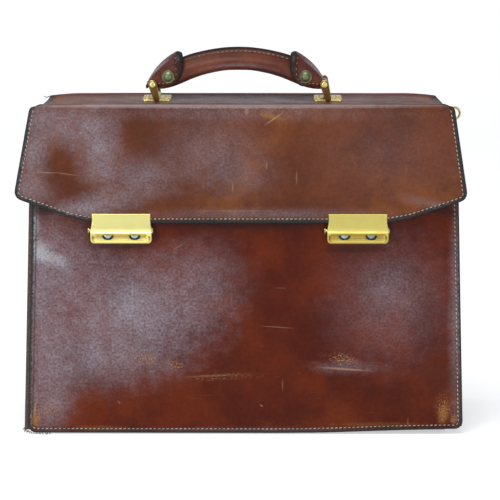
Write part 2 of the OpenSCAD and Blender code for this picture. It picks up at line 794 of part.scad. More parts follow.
module ring_bracket_left() {
    ring_bracket(-1);
}
module ring_bracket_right() {
    ring_bracket(1);
}
module bracket_rivets() {
    color(steel) bracket_rivet_places() {
        translate([0, 0, strip_z - bracket_t - 0.3]) cylinder(r = rivet_r, h = bracket_t + strip_t + 0.2);
        translate([0, 0, strip_z - bracket_t - 0.6]) cylinder(r = rivet_r + 1, h = 0.6);
    }
}
module strap_ring(side) {
    color(brass) translate([side * ring_x, handle_y, ring_z]) rotate([90, 0, side < 0 ? 90 : 0])
        translate([ring_r, 0, 0]) rotate_extrude() translate([ring_r, 0]) circle(r = wire_r, $fn = 24);
}
module strap_ring_left() {
    strap_ring(-1);
}
module strap_ring_right() {
    strap_ring(1);
}

back_panel();
back_board();
back_lining();
top_strip();
top_lining();
base_leather();
base_board();
base_lining();
gusset_back_left();
gusset_back_right();
divider();
front_panel();
front_board();
front_lining();
gusset_front_left();
gusset_front_right();
strike_left();
strike_right();
strike_backing_left();
strike_backing_right();
strike_rivets();
flap();
flap_lining();
hasp_left();
hasp_right();
lock_cover_left();
lock_cover_right();
hasp_backing_left();
hasp_backing_right();
hasp_rivets();
dial_left_1();
dial_left_2();
dial_right_1();
dial_right_2();
release_bar_left();
release_bar_right();
handle_plate_left();
handle_plate_right();
handle_plate_rivets();
bail_left();
bail_right();
handle_pin_left();
handle_pin_right();
handle_core();
handle_grip();
handle_cap_left();
handle_cap_right();
handle_stud_left();
handle_stud_right();
ring_bracket_left();
ring_bracket_right();
bracket_rivets();
strap_ring_left();
strap_ring_right();
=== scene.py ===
import bpy
import bmesh
import math
from mathutils import Matrix, Vector, noise


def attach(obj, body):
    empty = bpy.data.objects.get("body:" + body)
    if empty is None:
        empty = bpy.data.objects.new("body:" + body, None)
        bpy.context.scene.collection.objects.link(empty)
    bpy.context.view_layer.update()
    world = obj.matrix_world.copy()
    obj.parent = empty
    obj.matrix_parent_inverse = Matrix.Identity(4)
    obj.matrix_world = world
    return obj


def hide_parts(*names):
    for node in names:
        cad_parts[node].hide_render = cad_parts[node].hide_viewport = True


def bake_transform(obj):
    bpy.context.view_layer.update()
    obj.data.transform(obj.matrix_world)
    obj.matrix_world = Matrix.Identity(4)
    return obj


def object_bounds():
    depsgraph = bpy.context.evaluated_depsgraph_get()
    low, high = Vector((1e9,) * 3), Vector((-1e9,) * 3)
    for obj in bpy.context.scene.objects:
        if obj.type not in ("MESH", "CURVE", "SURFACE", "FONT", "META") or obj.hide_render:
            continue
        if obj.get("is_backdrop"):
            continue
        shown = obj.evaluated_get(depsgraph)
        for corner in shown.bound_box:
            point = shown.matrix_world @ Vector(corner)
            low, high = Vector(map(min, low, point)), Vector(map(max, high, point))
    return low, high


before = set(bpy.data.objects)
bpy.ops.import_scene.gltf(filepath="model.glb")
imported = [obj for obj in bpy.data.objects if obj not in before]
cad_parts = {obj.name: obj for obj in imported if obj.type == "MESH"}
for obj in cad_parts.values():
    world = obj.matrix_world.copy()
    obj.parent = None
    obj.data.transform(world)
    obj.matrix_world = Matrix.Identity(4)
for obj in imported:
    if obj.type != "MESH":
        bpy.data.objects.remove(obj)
cad_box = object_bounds()
mm = 0.001

# The view: the case is seen from a little above and almost straight in front, with a long lens.
scene = bpy.context.scene
scene.view_settings.view_transform = "Standard"
view_target = Vector((6.84, 0, 165.75)) * mm
view_distance = 2.2
view_height, view_turn, view_roll = (math.radians(a) for a in (13.6, 0.57, -0.08))
camera = bpy.data.objects.new("camera", bpy.data.cameras.new("camera"))
scene.collection.objects.link(camera)
scene.camera = camera
camera.data.lens = 165.7
camera.data.clip_end = 50
towards = Vector((math.sin(view_turn) * math.cos(view_height), -math.cos(view_turn) * math.cos(view_height),
                  math.sin(view_height)))
camera.location = view_target + towards * view_distance
camera.rotation_euler = (towards.to_track_quat("Z", "Y").to_matrix() @ Matrix.Rotation(view_roll, 3, "Z")).to_euler()


def add(tree, kind, values=(), **settings):
    made = tree.nodes.new(kind)
    for name, value in settings.items():
        setattr(made, name, value)
    for name, value in dict(values).items():
        if isinstance(value, bpy.types.NodeSocket):
            tree.links.new(value, made.inputs[name])
        else:
            made.inputs[name].default_value = value
    return made


def bare_material(name):
    made = bpy.data.materials.new(name)
    made.use_nodes = True
    made.node_tree.nodes.clear()
    out = made.node_tree.nodes.new("ShaderNodeOutputMaterial")
    return made, made.node_tree, out.inputs["Surface"]


# Studio: a pale floor that curves up into a wall, a soft room light and three soft boxes. The soft boxes
# stand where the waxed hide shows its broad sheens.
paper, tree, surface = bare_material("studio_paper")
plain = add(tree, "ShaderNodeBsdfPrincipled", {"Base Color": (0.80, 0.80, 0.80, 1), "Roughness": 0.9})
shown = add(tree, "ShaderNodeEmission", {"Color": (0.86, 0.87, 0.88, 1), "Strength": 0.55})
both = add(tree, "ShaderNodeAddShader", {0: plain.outputs[0], 1: shown.outputs[0]})
rays = add(tree, "ShaderNodeLightPath")
pick = add(tree, "ShaderNodeMixShader", {0: rays.outputs["Is Camera Ray"], 1: plain.outputs[0], 2: both.outputs[0]})
tree.links.new(pick.outputs[0], surface)
bm = bmesh.new()
bmesh.ops.create_grid(bm, x_segments=1, y_segments=1, size=1)
bmesh.ops.scale(bm, vec=(5, 2.6, 1), verts=bm.verts)
bmesh.ops.translate(bm, vec=(0, -1.2, 0), verts=bm.verts)
far = [e for e in bm.edges if all(v.co.y > 1 for v in e.verts)]
bmesh.ops.spin(bm, geom=far, cent=(0, 1.4, 0.9), axis=(1, 0, 0), angle=math.pi / 2, steps=16)
far = [e for e in bm.edges if all(v.co.z > 0.89 for v in e.verts)]
risen = bmesh.ops.extrude_edge_only(bm, edges=far)
bmesh.ops.translate(bm, vec=(0, 0, 3), verts=[g for g in risen["geom"] if isinstance(g, bmesh.types.BMVert)])
bmesh.ops.recalc_face_normals(bm, faces=bm.faces)
sweep = bpy.data.objects.new("studio_sweep", bpy.data.meshes.new("studio_sweep"))
bm.to_mesh(sweep.data)
bm.free()
sweep.data.materials.append(paper)
sweep.data.shade_smooth()
scene.collection.objects.link(sweep)
sweep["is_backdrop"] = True

scene.world = bpy.data.worlds.new("room")
scene.world.use_nodes = True
air = scene.world.node_tree.nodes["Background"]
air.inputs["Color"].default_value = (0.86, 0.89, 0.94, 1)
air.inputs["Strength"].default_value = 0.42


def soft_box(name, place, aim, width, height, power, tint=(1, 1, 1)):
    lamp = bpy.data.lights.new(name, "AREA")
    lamp.shape = "RECTANGLE"
    lamp.size, lamp.size_y, lamp.energy, lamp.color = width, height, power, tint
    held = bpy.data.objects.new(name, lamp)
    scene.collection.objects.link(held)
    held.location = place
    held.rotation_euler = (Vector(place) - Vector(aim)).to_track_quat("Z", "Y").to_euler()


soft_box("soft_box_above", (-0.3, -0.7, 2.3), (0, 0, 0.15), 1.8, 1.2, 30)
soft_box("soft_box_left", (-1.7, -2.6, 0.75), (0, 0, 0.2), 0.8, 1.3, 22, (0.93, 0.96, 1))
soft_box("soft_box_right", (1.5, -2.8, 0.6), (0, 0, 0.2), 0.7, 1.1, 14, (0.93, 0.96, 1))

# Front wall: a sheet of waxed hide with its two lower corners rounded, sewn all round to the gussets 4 mm
# inside its painted edge. It leans back, because the case is twice as deep at the base as at the top.
base_w, top_w, base_d, top_d, case_h, lift = 410, 392, 116, 56, 313, 1
lean = math.atan((base_d - top_d) / 2 / case_h)
hide_t, board_t, lining_t, gusset_t = 3, 1.6, 1, 1.6
crease_r, flap_gap, flap_t, flap_lining_t = 2.6, 2, 2.6, 1.4
axis_w = flap_gap + (flap_t + flap_lining_t) / 2
axis_z = case_h - crease_r
axis_v = (axis_z - lift - axis_w * math.sin(lean)) / math.cos(lean)
axis_y = -base_d / 2 + axis_v * math.sin(lean) - axis_w * math.cos(lean)
front_v = axis_v - 22
seam_in = 4.2
right_fuller, left_fuller = 3.8, 0.9
foot_curl, foot_high = 4.2, 90
corner_r, left_trim = 8, 2.4


def on_front(x, v, w):
    """A place on the front wall: x along it, v up it from its lower edge, w out from its face."""
    return Vector((x, -base_d / 2 + v * math.sin(lean) - w * math.cos(lean),
                   lift + v * math.cos(lean) + w * math.sin(lean)))


def half_w(v, side=0):
    """Half the width of the case at a height. Its right side (1) is stuffed fuller, and its left foot (-1) a little."""
    fuller = right_fuller if side > 0 else left_fuller * max(0, 1 - v / 220) if side < 0 else 0
    return base_w / 2 - (base_w - top_w) / 2 * v / case_h + fuller


def spread(length, step, near=(0, 0.4, 1, 1.9, 3.2, 5, 8)):
    """Distances across a sheet, closer together towards its edges."""
    n = max(1, round((length - 2 * near[-1]) / step))
    inside = [near[-1] + (length - 2 * near[-1]) * i / n for i in range(1, n)]
    return list(near) + inside + [length - d for d in reversed(near)]


def rounded(a, b, reach):
    """Draws a square corner in to a round one; a and b are the distances from its two edges."""
    p, q = reach - a, reach - b
    if p <= 0 or q <= 0:
        return a, b
    pull = max(p, q) / math.hypot(p, q)
    return reach - p * pull, reach - q * pull


def smooth(t):
    t = min(1, max(0, t))
    return t * t * (3 - 2 * t)


def ripple(x, y, seed, height):
    """Soft waves that a used hide keeps, in mm."""
    return height * (noise.noise(Vector((x / 75, y / 62, seed)))
                     + 0.35 * noise.noise(Vector((x / 27, y / 22, seed + 7))))


def finish_piece(bm, name, finish, corner=50):
    """Makes the object, closed and facing outwards, with smooth shading up to the given corner angle."""
    bmesh.ops.recalc_face_normals(bm, faces=bm.faces)
    mesh = bpy.data.meshes.new(name)
    bm.to_mesh(mesh)
    bm.free()
    made = bpy.data.objects.new(name, mesh)
    scene.collection.objects.link(made)
    for one in finish if isinstance(finish, tuple) else (finish,):
        mesh.materials.append(one)
    mesh.shade_smooth()
    mesh.set_sharp_from_angle(angle=math.radians(corner))
    return made


def cut_sheet(name, columns, rows, outline, place, thick, finish, round_out=True, round_in=True, open_end=False):
    """A sheet cut flat, then laid in place: outline gives a flat point for distances from the left and the lower
    edge, place lays that point at a depth below the outer face. The flat places stay as its UV map. round_out and
    round_in round its edges on the outer and the inner face, open_end is for an end that is joined on."""
    bm = bmesh.new()
    bmesh.ops.create_grid(bm, x_segments=len(columns) - 1, y_segments=len(rows) - 1, size=1)
    flat_x, flat_y, rim = (bm.verts.layers.float.new(n) for n in ("flat_x", "flat_y", "rim"))
    for v in bm.verts:
        a = columns[round((v.co.x + 1) / 2 * (len(columns) - 1))]
        b = rows[round((v.co.y + 1) / 2 * (len(rows) - 1))]
        v[flat_x], v[flat_y] = outline(a, b)
        v[rim] = min(a, columns[-1] - a, b, 99 if open_end else rows[-1] - b)
    grown = bmesh.ops.extrude_face_region(bm, geom=bm.faces[:])["geom"]
    under = {g for g in grown if isinstance(g, bmesh.types.BMVert)}
    soft = min(1.3, thick * 0.48)
    for v in bm.verts:
        inner = v in under
        drop = 0
        if v[rim] < soft and (round_in if inner else round_out):
            drop = soft - math.sqrt(soft ** 2 - (soft - v[rim]) ** 2)
        v.co = place(v[flat_x], v[flat_y], thick - drop if inner else drop) * mm
    laid = bm.loops.layers.uv.new("flat")
    for f in bm.faces:
        f.material_index = int(isinstance(finish, tuple) and all(v in under for v in f.verts))
        for loop in f.loops:
            loop[laid].uv = (loop.vert[flat_x] * mm, loop.vert[flat_y] * mm)
    return finish_piece(bm, name, finish)


def group(name, inputs, outputs):
    made = bpy.data.node_groups.new(name, "ShaderNodeTree")
    for label, kind, value in inputs:
        made.interface.new_socket(label, in_out="INPUT", socket_type="NodeSocket" + kind).default_value = value
    for label, kind in outputs:
        made.interface.new_socket(label, in_out="OUTPUT", socket_type="NodeSocket" + kind)
    return made, made.nodes.new("NodeGroupInput").outputs, made.nodes.new("NodeGroupOutput").inputs


def calc(tree, operation, a, b=0.0, c=0.0, clamp=False):
    return add(tree, "ShaderNodeMath", {0: a, 1: b, 2: c}, operation=operation, use_clamp=clamp).outputs[0]


def ease(tree, value, low, high, to_low=0.0, to_high=1.0):
    return add(tree, "ShaderNodeMapRange", {0: value, 1: low, 2: high, 3: to_low, 4: to_high},
               interpolation_type="SMOOTHSTEP").outputs[0]


def tint(tree, factor, a, b, how="MIX"):
    return add(tree, "ShaderNodeMix", {0: factor, 6: a, 7: b}, data_type="RGBA", blend_type=how).outputs[2]


def stretched(tree, vector, turn, scale, shift=0.0):
    """A pattern's own place, turned by degrees and drawn out, for lines and streaks."""
    return add(tree, "ShaderNodeMapping", {"Vector": vector, "Rotation": (0, 0, math.radians(turn)),
                                           "Scale": scale, "Location": (shift, shift, 0)}).outputs[0]


def cloud(tree, vector, scale, detail=3.0, rough=0.55, out=0):
    return add(tree, "ShaderNodeTexNoise", {"Vector": vector, "Scale": scale, "Detail": detail,
                                            "Roughness": rough}).outputs[out]


# The hide's own colour: dye that lies unevenly, deeper in patches, worn warm where hands and knees rub it
dye, put, get = group("hide dye", [("Vector", "Vector", (0, 0, 0)), ("Main", "Color", (0.2, 0.05, 0.03, 1)),
                                   ("Deep", "Color", (0.1, 0.03, 0.02, 1)), ("Warm", "Color", (0.3, 0.1, 0.03, 1)),
                                   ("Rim", "Float", 0.0)], [("Color", "Color")])
broad = ease(dye, cloud(dye, put["Vector"], 16, 4), 0.36, 0.66)
shade = tint(dye, broad, put["Deep"], put["Main"])
rubbed = ease(dye, cloud(dye, stretched(dye, put["Vector"], 0, (1, 1, 1), 3.3), 11, 5, 0.6), 0.5, 0.72)
shade = tint(dye, calc(dye, "MULTIPLY", rubbed, 0.75), shade, put["Warm"])
fine = ease(dye, cloud(dye, put["Vector"], 240, 5, 0.7), 0.25, 0.75, 0.86, 1.12)
shade = tint(dye, 1.0, shade, add(dye, "ShaderNodeCombineColor", {0: fine, 1: fine, 2: fine}).outputs[0], "MULTIPLY")
burnt = ease(dye, put["Rim"], 0.5, 7.0, 0.55, 1.0)
shade = tint(dye, 1.0, shade, add(dye, "ShaderNodeCombineColor", {0: burnt, 1: burnt, 2: burnt}).outputs[0], "MULTIPLY")
dye.links.new(shade, get["Color"])

# The grain: rounded pebbles under a millimetre with pores between, and finer wrinkles where the hide has been bent
grain, put, get = group("hide grain", [("Vector", "Vector", (0, 0, 0)), ("Pebble", "Float", 1.0),
                                       ("Wrinkle", "Float", 0.3)], [("Height", "Float"), ("Pores", "Float")])
bent = cloud(grain, put["Vector"], 60, 4, 0.6, 1)
moved = add(grain, "ShaderNodeVectorMath", {0: put["Vector"], 1: add(grain, "ShaderNodeVectorMath", {0: bent, 3: 0.008},
            operation="SCALE").outputs[0]}, operation="ADD").outputs[0]
pebble = add(grain, "ShaderNodeTexVoronoi", {"Vector": moved, "Scale": 1050.0}, feature="SMOOTH_F1").outputs["Distance"]
pebble = ease(grain, pebble, 0.15, 0.75, 1.0, 0.0)
large = ease(grain, add(grain, "ShaderNodeTexVoronoi", {"Vector": moved, "Scale": 330.0},
             feature="DISTANCE_TO_EDGE").outputs["Distance"], 0.0, 0.12)
folds = calc(grain, "ABSOLUTE", calc(grain, "SUBTRACT", cloud(grain, moved, 130, 3, 0.5), 0.5))
folds = ease(grain, folds, 0.0, 0.09)
height = calc(grain, "MULTIPLY_ADD", pebble, calc(grain, "MULTIPLY", put["Pebble"], 0.35), 0.0)
height = calc(grain, "MULTIPLY_ADD", large, calc(grain, "MULTIPLY", put["Pebble"], 0.4), height)
height = calc(grain, "MULTIPLY_ADD", folds, put["Wrinkle"], height)
grain.links.new(height, get["Height"])
grain.links.new(pebble, get["Pores"])

# Scratches: thin pale strokes in three directions, in broken lengths
strokes, put, get = group("scratches", [("Vector", "Vector", (0, 0, 0)), ("Amount", "Float", 0.5)], [("Mask", "Float")])
found = 0.0
for turn, across, shift in ((12, 1500, 0), (-34, 1300, 5), (78, 1700, 9)):
    line = cloud(strokes, stretched(strokes, put["Vector"], turn, (34, across, 1), shift), 1, 1, 0.4)
    line = ease(strokes, line, 0.735, 0.80)
    place = ease(strokes, cloud(strokes, stretched(strokes, put["Vector"], 0, (1, 1, 1), shift + 2), 38, 2), 0.55, 0.66)
    found = calc(strokes, "MAXIMUM", found, calc(strokes, "MULTIPLY", line, place))
strokes.links.new(calc(strokes, "MULTIPLY", found, put["Amount"]), get["Mask"])

# One mark at a place on a sheet, with a ragged outline: a scuff, a stain, a painted sheen, highlight or shadow, or a
# long stroke
mark, put, get = group("mark", [("Vector", "Vector", (0, 0, 0)), ("Place", "Vector", (0, 0, 0)),
                                ("Reach", "Vector", (0.02, 0.02, 1)), ("Turn", "Float", 0.0), ("Ragged", "Float", 0.3),
                                ("Core", "Float", 0.25)],
                       [("Mask", "Float")])
away = add(mark, "ShaderNodeVectorMath", {0: put["Vector"], 1: put["Place"]}, operation="SUBTRACT").outputs[0]
away = add(mark, "ShaderNodeVectorRotate", {"Vector": away, "Angle": put["Turn"]}, rotation_type="Z_AXIS").outputs[0]
away = add(mark, "ShaderNodeVectorMath", {0: away, 1: put["Reach"]}, operation="DIVIDE").outputs[0]
far_off = add(mark, "ShaderNodeVectorMath", {0: away}, operation="LENGTH").outputs["Value"]
frayed = calc(mark, "SUBTRACT", cloud(mark, put["Vector"], 90, 4, 0.65), 0.5)
far_off = calc(mark, "MULTIPLY_ADD", frayed, calc(mark, "MULTIPLY", put["Ragged"], 2.0), far_off)
mark.links.new(ease(mark, far_off, put["Core"], 1.0, 1.0, 0.0), get["Mask"])


# What each kind of mark turns the hide to: a painted sheen over a thin wax coat, painted highlights,
# dark (mostly painted shade), raw leather, scuffs and scratches
mark_colours = {"haze": (0.29, 0.24, 0.275, 1), "shine": (0.50, 0.53, 0.58, 1), "gleam": (0.36, 0.30, 0.30, 1),
                "dark": (0.03, 0.010, 0.009, 1), "tan": (0.34, 0.14, 0.03, 1), "worn": (0.48, 0.26, 0.12, 1),
                "line": (0.48, 0.28, 0.17, 1)}


def hide_material(name, main, deep, warm, rough, pebble, wrinkle, scratch, marks=(), edge=(0.018, 0.022, 0.02, 1),
                  seam=seam_in, painted=1.0):
    """Waxed hide. A mark is (kind, x, y, reach x, reach y, turn in degrees, strength), placed on the flat sheet. Its
    kinds are haze (a painted sheen of light over a thin wax coat), shine and gleam (painted
    highlights), worn, tan, line, dark (mostly painted shade) and wrinkle. painted is the width of the edge's paint in
    mm."""
    made, tree, surface = bare_material(name)
    flat = add(tree, "ShaderNodeUVMap", uv_map="flat").outputs[0]
    rim = add(tree, "ShaderNodeAttribute", attribute_name="rim").outputs["Fac"]
    shade = add(tree, "ShaderNodeGroup", {"Vector": flat, "Main": (*main, 1), "Deep": (*deep, 1), "Warm": (*warm, 1),
                                          "Rim": rim}, node_tree=dye).outputs[0]
    lines = add(tree, "ShaderNodeGroup", {"Vector": flat, "Amount": scratch}, node_tree=strokes)
    totals = {kind: 0.0 for kind in (*mark_colours, "wrinkle")}
    for kind, x, y, reach_x, reach_y, turn, strength in marks:
        one = add(tree, "ShaderNodeGroup", {"Vector": flat, "Place": (x * mm, y * mm, 0),
                  "Reach": (reach_x * mm, reach_y * mm, 1), "Turn": math.radians(turn),
                  "Ragged": 0.15 if kind == "line" else 0.6 if kind in ("worn", "tan") else 0.3,
                  "Core": -0.25 if kind in ("haze", "shine") else 0.25}, node_tree=mark)
        fresh = calc(tree, "MULTIPLY", one.outputs[0], strength)
        totals[kind] = calc(tree, "MULTIPLY_ADD", calc(tree, "SUBTRACT", 1.0, totals[kind]), fresh, totals[kind])
    mottle = ease(tree, cloud(tree, flat, 430, 5, 0.8), 0.32, 0.68, 0.3, 1.5)
    mottle = calc(tree, "MULTIPLY", mottle, ease(tree, cloud(tree, flat, 60, 5, 0.65), 0.3, 0.66, 0.8, 1.12))
    # Where the painted sheen lies, mottled as the grain breaks it up; it also lays a thin wax coat
    painted_sheen_mask = calc(tree, "MULTIPLY", totals["haze"], mottle, clamp=True)
    bare = ease(tree, cloud(tree, flat, 420, 4, 0.8), 0.35, 0.62, 0.5, 0.95)
    flecks = ease(tree, cloud(tree, flat, 620, 5, 0.75), 0.5, 0.62)
    scuffed = calc(tree, "MULTIPLY", totals["worn"], flecks)
    pale = calc(tree, "MAXIMUM", lines.outputs[0], totals["line"])
    # Each mark's colour goes over the dye: the painted sheen, the painted highlights, dark (mostly painted shade), tan,
    # scuffs and scratches
    for kind, mask in (("haze", painted_sheen_mask), ("shine", calc(tree, "MULTIPLY", totals["shine"], mottle, clamp=True)),
                       ("gleam", totals["gleam"]), ("dark", totals["dark"]),
                       ("tan", calc(tree, "MULTIPLY", totals["tan"], bare)), ("worn", scuffed),
                       ("line", calc(tree, "MULTIPLY", pale, 0.6))):
        shade = tint(tree, mask, shade, mark_colours[kind])
    # Painted shade along the stitched groove, within about a millimetre of the seam line
    off_seam = calc(tree, "ABSOLUTE", calc(tree, "SUBTRACT", rim, seam))
    seam_shade = calc(tree, "MULTIPLY", ease(tree, off_seam, 0.3, 1.0, 1.0, 0.0), 0.55)
    shade = tint(tree, seam_shade, shade, (0.02, 0.012, 0.01, 1))
    worn_edge = ease(tree, cloud(tree, flat, 260, 4, 0.7), 0.42, 0.6, 0.75, 1.5)
    paint_from, paint_to = (calc(tree, "MULTIPLY", worn_edge, share * painted) for share in (0.8, 1.15))
    paint = ease(tree, rim, paint_from, paint_to, 1.0, 0.0)
    shade = tint(tree, paint, shade, edge)
    rough_map = ease(tree, cloud(tree, flat, 42, 4, 0.6), 0.3, 0.7, rough - 0.07, rough + 0.09)
    rough_map = calc(tree, "MULTIPLY_ADD", totals["worn"], 0.25, rough_map)
    rough_map = calc(tree, "MULTIPLY_ADD", pale, 0.2, rough_map)
    groove = ease(tree, off_seam, 0.1, 1.3, -0.9, 0.0)
    skin = add(tree, "ShaderNodeGroup", {"Vector": flat, "Pebble": pebble,
               "Wrinkle": calc(tree, "MULTIPLY_ADD", totals["wrinkle"], 1.6, wrinkle)}, node_tree=grain)
    relief = calc(tree, "ADD", skin.outputs["Height"], groove)
    relief = calc(tree, "MULTIPLY_ADD", pale, -0.5, relief)
    relief = calc(tree, "MULTIPLY_ADD", scuffed, -0.4, relief)
    bump = add(tree, "ShaderNodeBump", {"Height": relief, "Distance": 0.00022, "Strength": 0.8})
    wax = calc(tree, "MULTIPLY", painted_sheen_mask, 0.3)
    skin_shader = add(tree, "ShaderNodeBsdfPrincipled", {
        "Base Color": shade, "Roughness": rough_map, "Normal": bump.outputs[0], "Specular IOR Level": 0.14,
        "Coat Weight": wax, "Coat Roughness": 0.3})
    tree.links.new(skin_shader.outputs[0], surface)
    return made


def panel_place(u, v):
    """Flat place on the front sheet, in mm, of a pixel place on the photograph's front."""
    return (u - 243.1) * 0.95, (433 - v) * 0.955


def at(kind, u, v, reach_u, reach_v, turn, strength):
    """A mark at a pixel place on the photograph's front."""
    x, y = panel_place(u, v)
    return kind, x, y, reach_u * 0.94, reach_v * 0.955, turn, strength


def gathered(place, **kinds):
    """Marks of each kind, set down by a function such as at."""
    return [place(kind, *one) for kind, ones in kinds.items() for one in ones]


body_marks = gathered(
    at,
    # The sheens are painted light reflected off the waxed hide, each over a thin wax coat
    haze=((46, 330, 42, 190, 0, 0.62), (54, 262, 84, 70, 0, 0.64), (130, 312, 132, 78, 4, 0.86),
          (150, 308, 60, 50, 10, 0.4), (95, 356, 130, 52, 0, 0.7), (204, 282, 66, 64, 0, 0.44),
          (52, 398, 40, 44, 0, 0.5), (388, 300, 92, 96, 0, 0.35), (395, 290, 44, 44, 0, 0.14),
          (456, 310, 13, 180, 0, 0.6), (243, 429, 230, 3.4, 0, 0.3), (345, 366, 50, 11, 0, 0.4),
          (140, 262, 120, 34, 0, 0.22)),
    # Painted highlights on a dent near the left edge, and faint painted glints elsewhere
    shine=((44, 250, 15, 15, 20, 0.95), (52, 257, 22, 10, 10, 0.8), (66, 263, 12, 9, -40, 0.35),
           (38, 222, 7, 36, 3, 0.5), (136, 300, 26, 34, 30, 0.14), (380, 285, 24, 30, 30, 0.08)),
    # The gleams paint the dent's brightest highlight
    gleam=((43, 246, 8, 11, 25, 0.55), (54, 257, 15, 6, 12, 0.5)),
    worn=((147, 358, 17, 9, 0, 1.3), (177, 364, 12, 7, 25, 1.1), (342, 358, 24, 7, 8, 1.0),
          (222, 376, 52, 5, -3, 0.42), (50, 408, 14, 12, -20, 0.9), (36, 415, 9, 16, 10, 1.0),
          (444, 408, 12, 18, 0, 0.9), (453, 418, 6, 8, 0, 0.9)),
    line=((345, 368, 32, 1.6, 4, 0.9), (212, 375, 40, 1.4, -3, 0.3), (278, 326, 22, 0.9, 4, 0.45),
          (262, 405, 2.6, 1.2, 40, 0.8), (283, 384, 1.2, 9, 0, 0.35), (180, 246, 10, 1, -30, 0.4),
          (408, 422, 0.8, 7, 0, 0.5), (120, 402, 3, 0.8, 50, 0.6), (36, 408, 1.2, 14, 12, 0.8)),
    tan=((35, 420, 9, 9, 20, 0.9), (443, 413, 7, 14, 12, 0.8), (453, 419, 4, 6, 0, 0.6), (98, 428, 40, 3.5, 0, 0.35),
         (380, 424, 60, 3.5, 0, 0.3)),
    wrinkle=((60, 245, 36, 50, 0, 1.0), (240, 425, 190, 6, 0, 0.5)),
    # dark: painted shadow under the flap's edge and corners, under the locks and beside the left lock, and a darker
    # patch at the lower right
    dark=((243, 222, 175, 9, 0, 0.75), (62, 206, 50, 8, -14, 0.7), (426, 206, 50, 8, 14, 0.75),
          (122, 245, 44, 6, 0, 0.6), (358, 248, 44, 6, 0, 0.6), (440, 380, 30, 26, 0, 0.35),
          (157, 234, 7, 11, 0, 0.55)))
body_hide = hide_material("body_hide", (0.134, 0.0185, 0.003), (0.078, 0.010, 0.0035), (0.165, 0.030, 0.006), 0.40,
                          0.55, 0.25, 0.5, body_marks, edge=(0.040, 0.037, 0.034, 1), painted=1.9)


def panel_outline(a, b):
    hand = -1 if a < base_w / 2 else 1
    side = min(a, base_w - a)
    side, b = rounded(side, b, corner_r)
    x = half_w(b, hand) * (1 - side / (base_w / 2))
    return hand * x, b


def foot_lift(x):
    """How far the case's right front foot has curled up off the ground."""
    return foot_curl * smooth((x - 30) / 170)


def front_outline(a, b):
    """The front's left edge stops short of the gusset's, and its right foot is curled up."""
    x, y = panel_outline(a, b)
    x += left_trim * smooth((-x - 150) / 50)
    return x, y + foot_lift(x) * max(0, 1 - y / foot_high)


def front_sheet(x, v, depth):
    calm = smooth(min(half_w(v) - abs(x), v) / 16)
    return on_front(x, v, calm * ripple(x, v, 3.1, 0.75) - depth)


front_columns, front_rows = spread(base_w, 6.5), spread(front_v, 6.5)
front_hide = cut_sheet("front_hide", front_columns, front_rows, front_outline, front_sheet, hide_t, body_hide)
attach(front_hide, "front_wall")
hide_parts("front_panel")

# Stitches: waxed cream thread, four millimetres a stitch, pulled a little way into the hide. The left seam has
# gone black with wax and dirt, and the corner below it has frayed.
def fibrous_material(name, dark, light, patches, nap, rough, relief, drawn=(1, 1, 1), between=None, sheen=0.0):
    """Thread, raw hide, suede or card. patches is the noise (scale, detail, roughness) and its range (from, to) that
    mixes dark and light, nap the noise of the fibres, relief their depth and strength, between a colour in the nap."""
    made, tree, surface = bare_material(name)
    place = stretched(tree, add(tree, "ShaderNodeTexCoord").outputs["Object"], 0, drawn)
    shade = tint(tree, ease(tree, cloud(tree, place, *patches[:3]), *patches[3:]), (*dark, 1), (*light, 1))
    fibres = cloud(tree, place, *nap)
    if between:
        shade = tint(tree, ease(tree, fibres, 0.3, 0.7, 0.0, 0.35), shade, (*between, 1))
    bump = add(tree, "ShaderNodeBump", {"Height": fibres, "Distance": relief[0], "Strength": relief[1]})
    shader = add(tree, "ShaderNodeBsdfPrincipled", {"Base Color": shade, "Roughness": rough, "Normal": bump.outputs[0],
                                                    "Sheen Weight": sheen})
    tree.links.new(shader.outputs[0], surface)
    return made


def thread_material(name, soiled, clean):
    return fibrous_material(name, soiled, clean, (90, 4, 0.7, 0.35, 0.65), (2200, 2), 0.75, (0.0001, 0.6))


thread = thread_material("waxed_thread", (0.34, 0.30, 0.25), (0.62, 0.57, 0.50))


def sew(name, seams, place, body, pitch=4.1, long=3.0, thick=0.42, cord=thread):
    """Stitches along flat lines on a sheet: place gives the sheet's faces, as in cut_sheet."""
    bm = bmesh.new()
    for line in seams:
        ways = [(Vector(b) - Vector(a)).length for a, b in zip(line, line[1:])]
        count = max(1, round(sum(ways) / pitch))
        gone, leg = 0.0, 0
        for k in range(count):
            spot = sum(ways) * (k + 0.5) / count
            while leg < len(ways) - 1 and gone + ways[leg] < spot:
                gone += ways[leg]
                leg += 1
            start, end = Vector(line[leg]), Vector(line[leg + 1])
            run = (end - start).normalized()
            mid = start + run * (spot - gone)
            here = place(mid.x, mid.y, 0.0)
            ahead = (place(mid.x + run.x, mid.y + run.y, 0.0) - here).normalized()
            up = (here - place(mid.x, mid.y, 1.0)).normalized()
            aside = up.cross(ahead).normalized()
            turn = Matrix((ahead, aside, ahead.cross(aside))).transposed().to_4x4()
            shape = Matrix.Diagonal((long / 2 * mm, thick * mm, thick * 0.85 * mm, 1))
            laid = Matrix.Translation(here * mm) @ turn @ Matrix.Rotation(0.10, 4, "Z") @ shape
            bmesh.ops.create_uvsphere(bm, u_segments=6, v_segments=4, radius=1,
                                      matrix=laid @ Matrix.Rotation(math.pi / 2, 4, "Y"))
    made = finish_piece(bm, name, cord, 180)
    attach(made, body)
    return made


def line_of(outline, points):
    return [outline(a, b) for a, b in points]


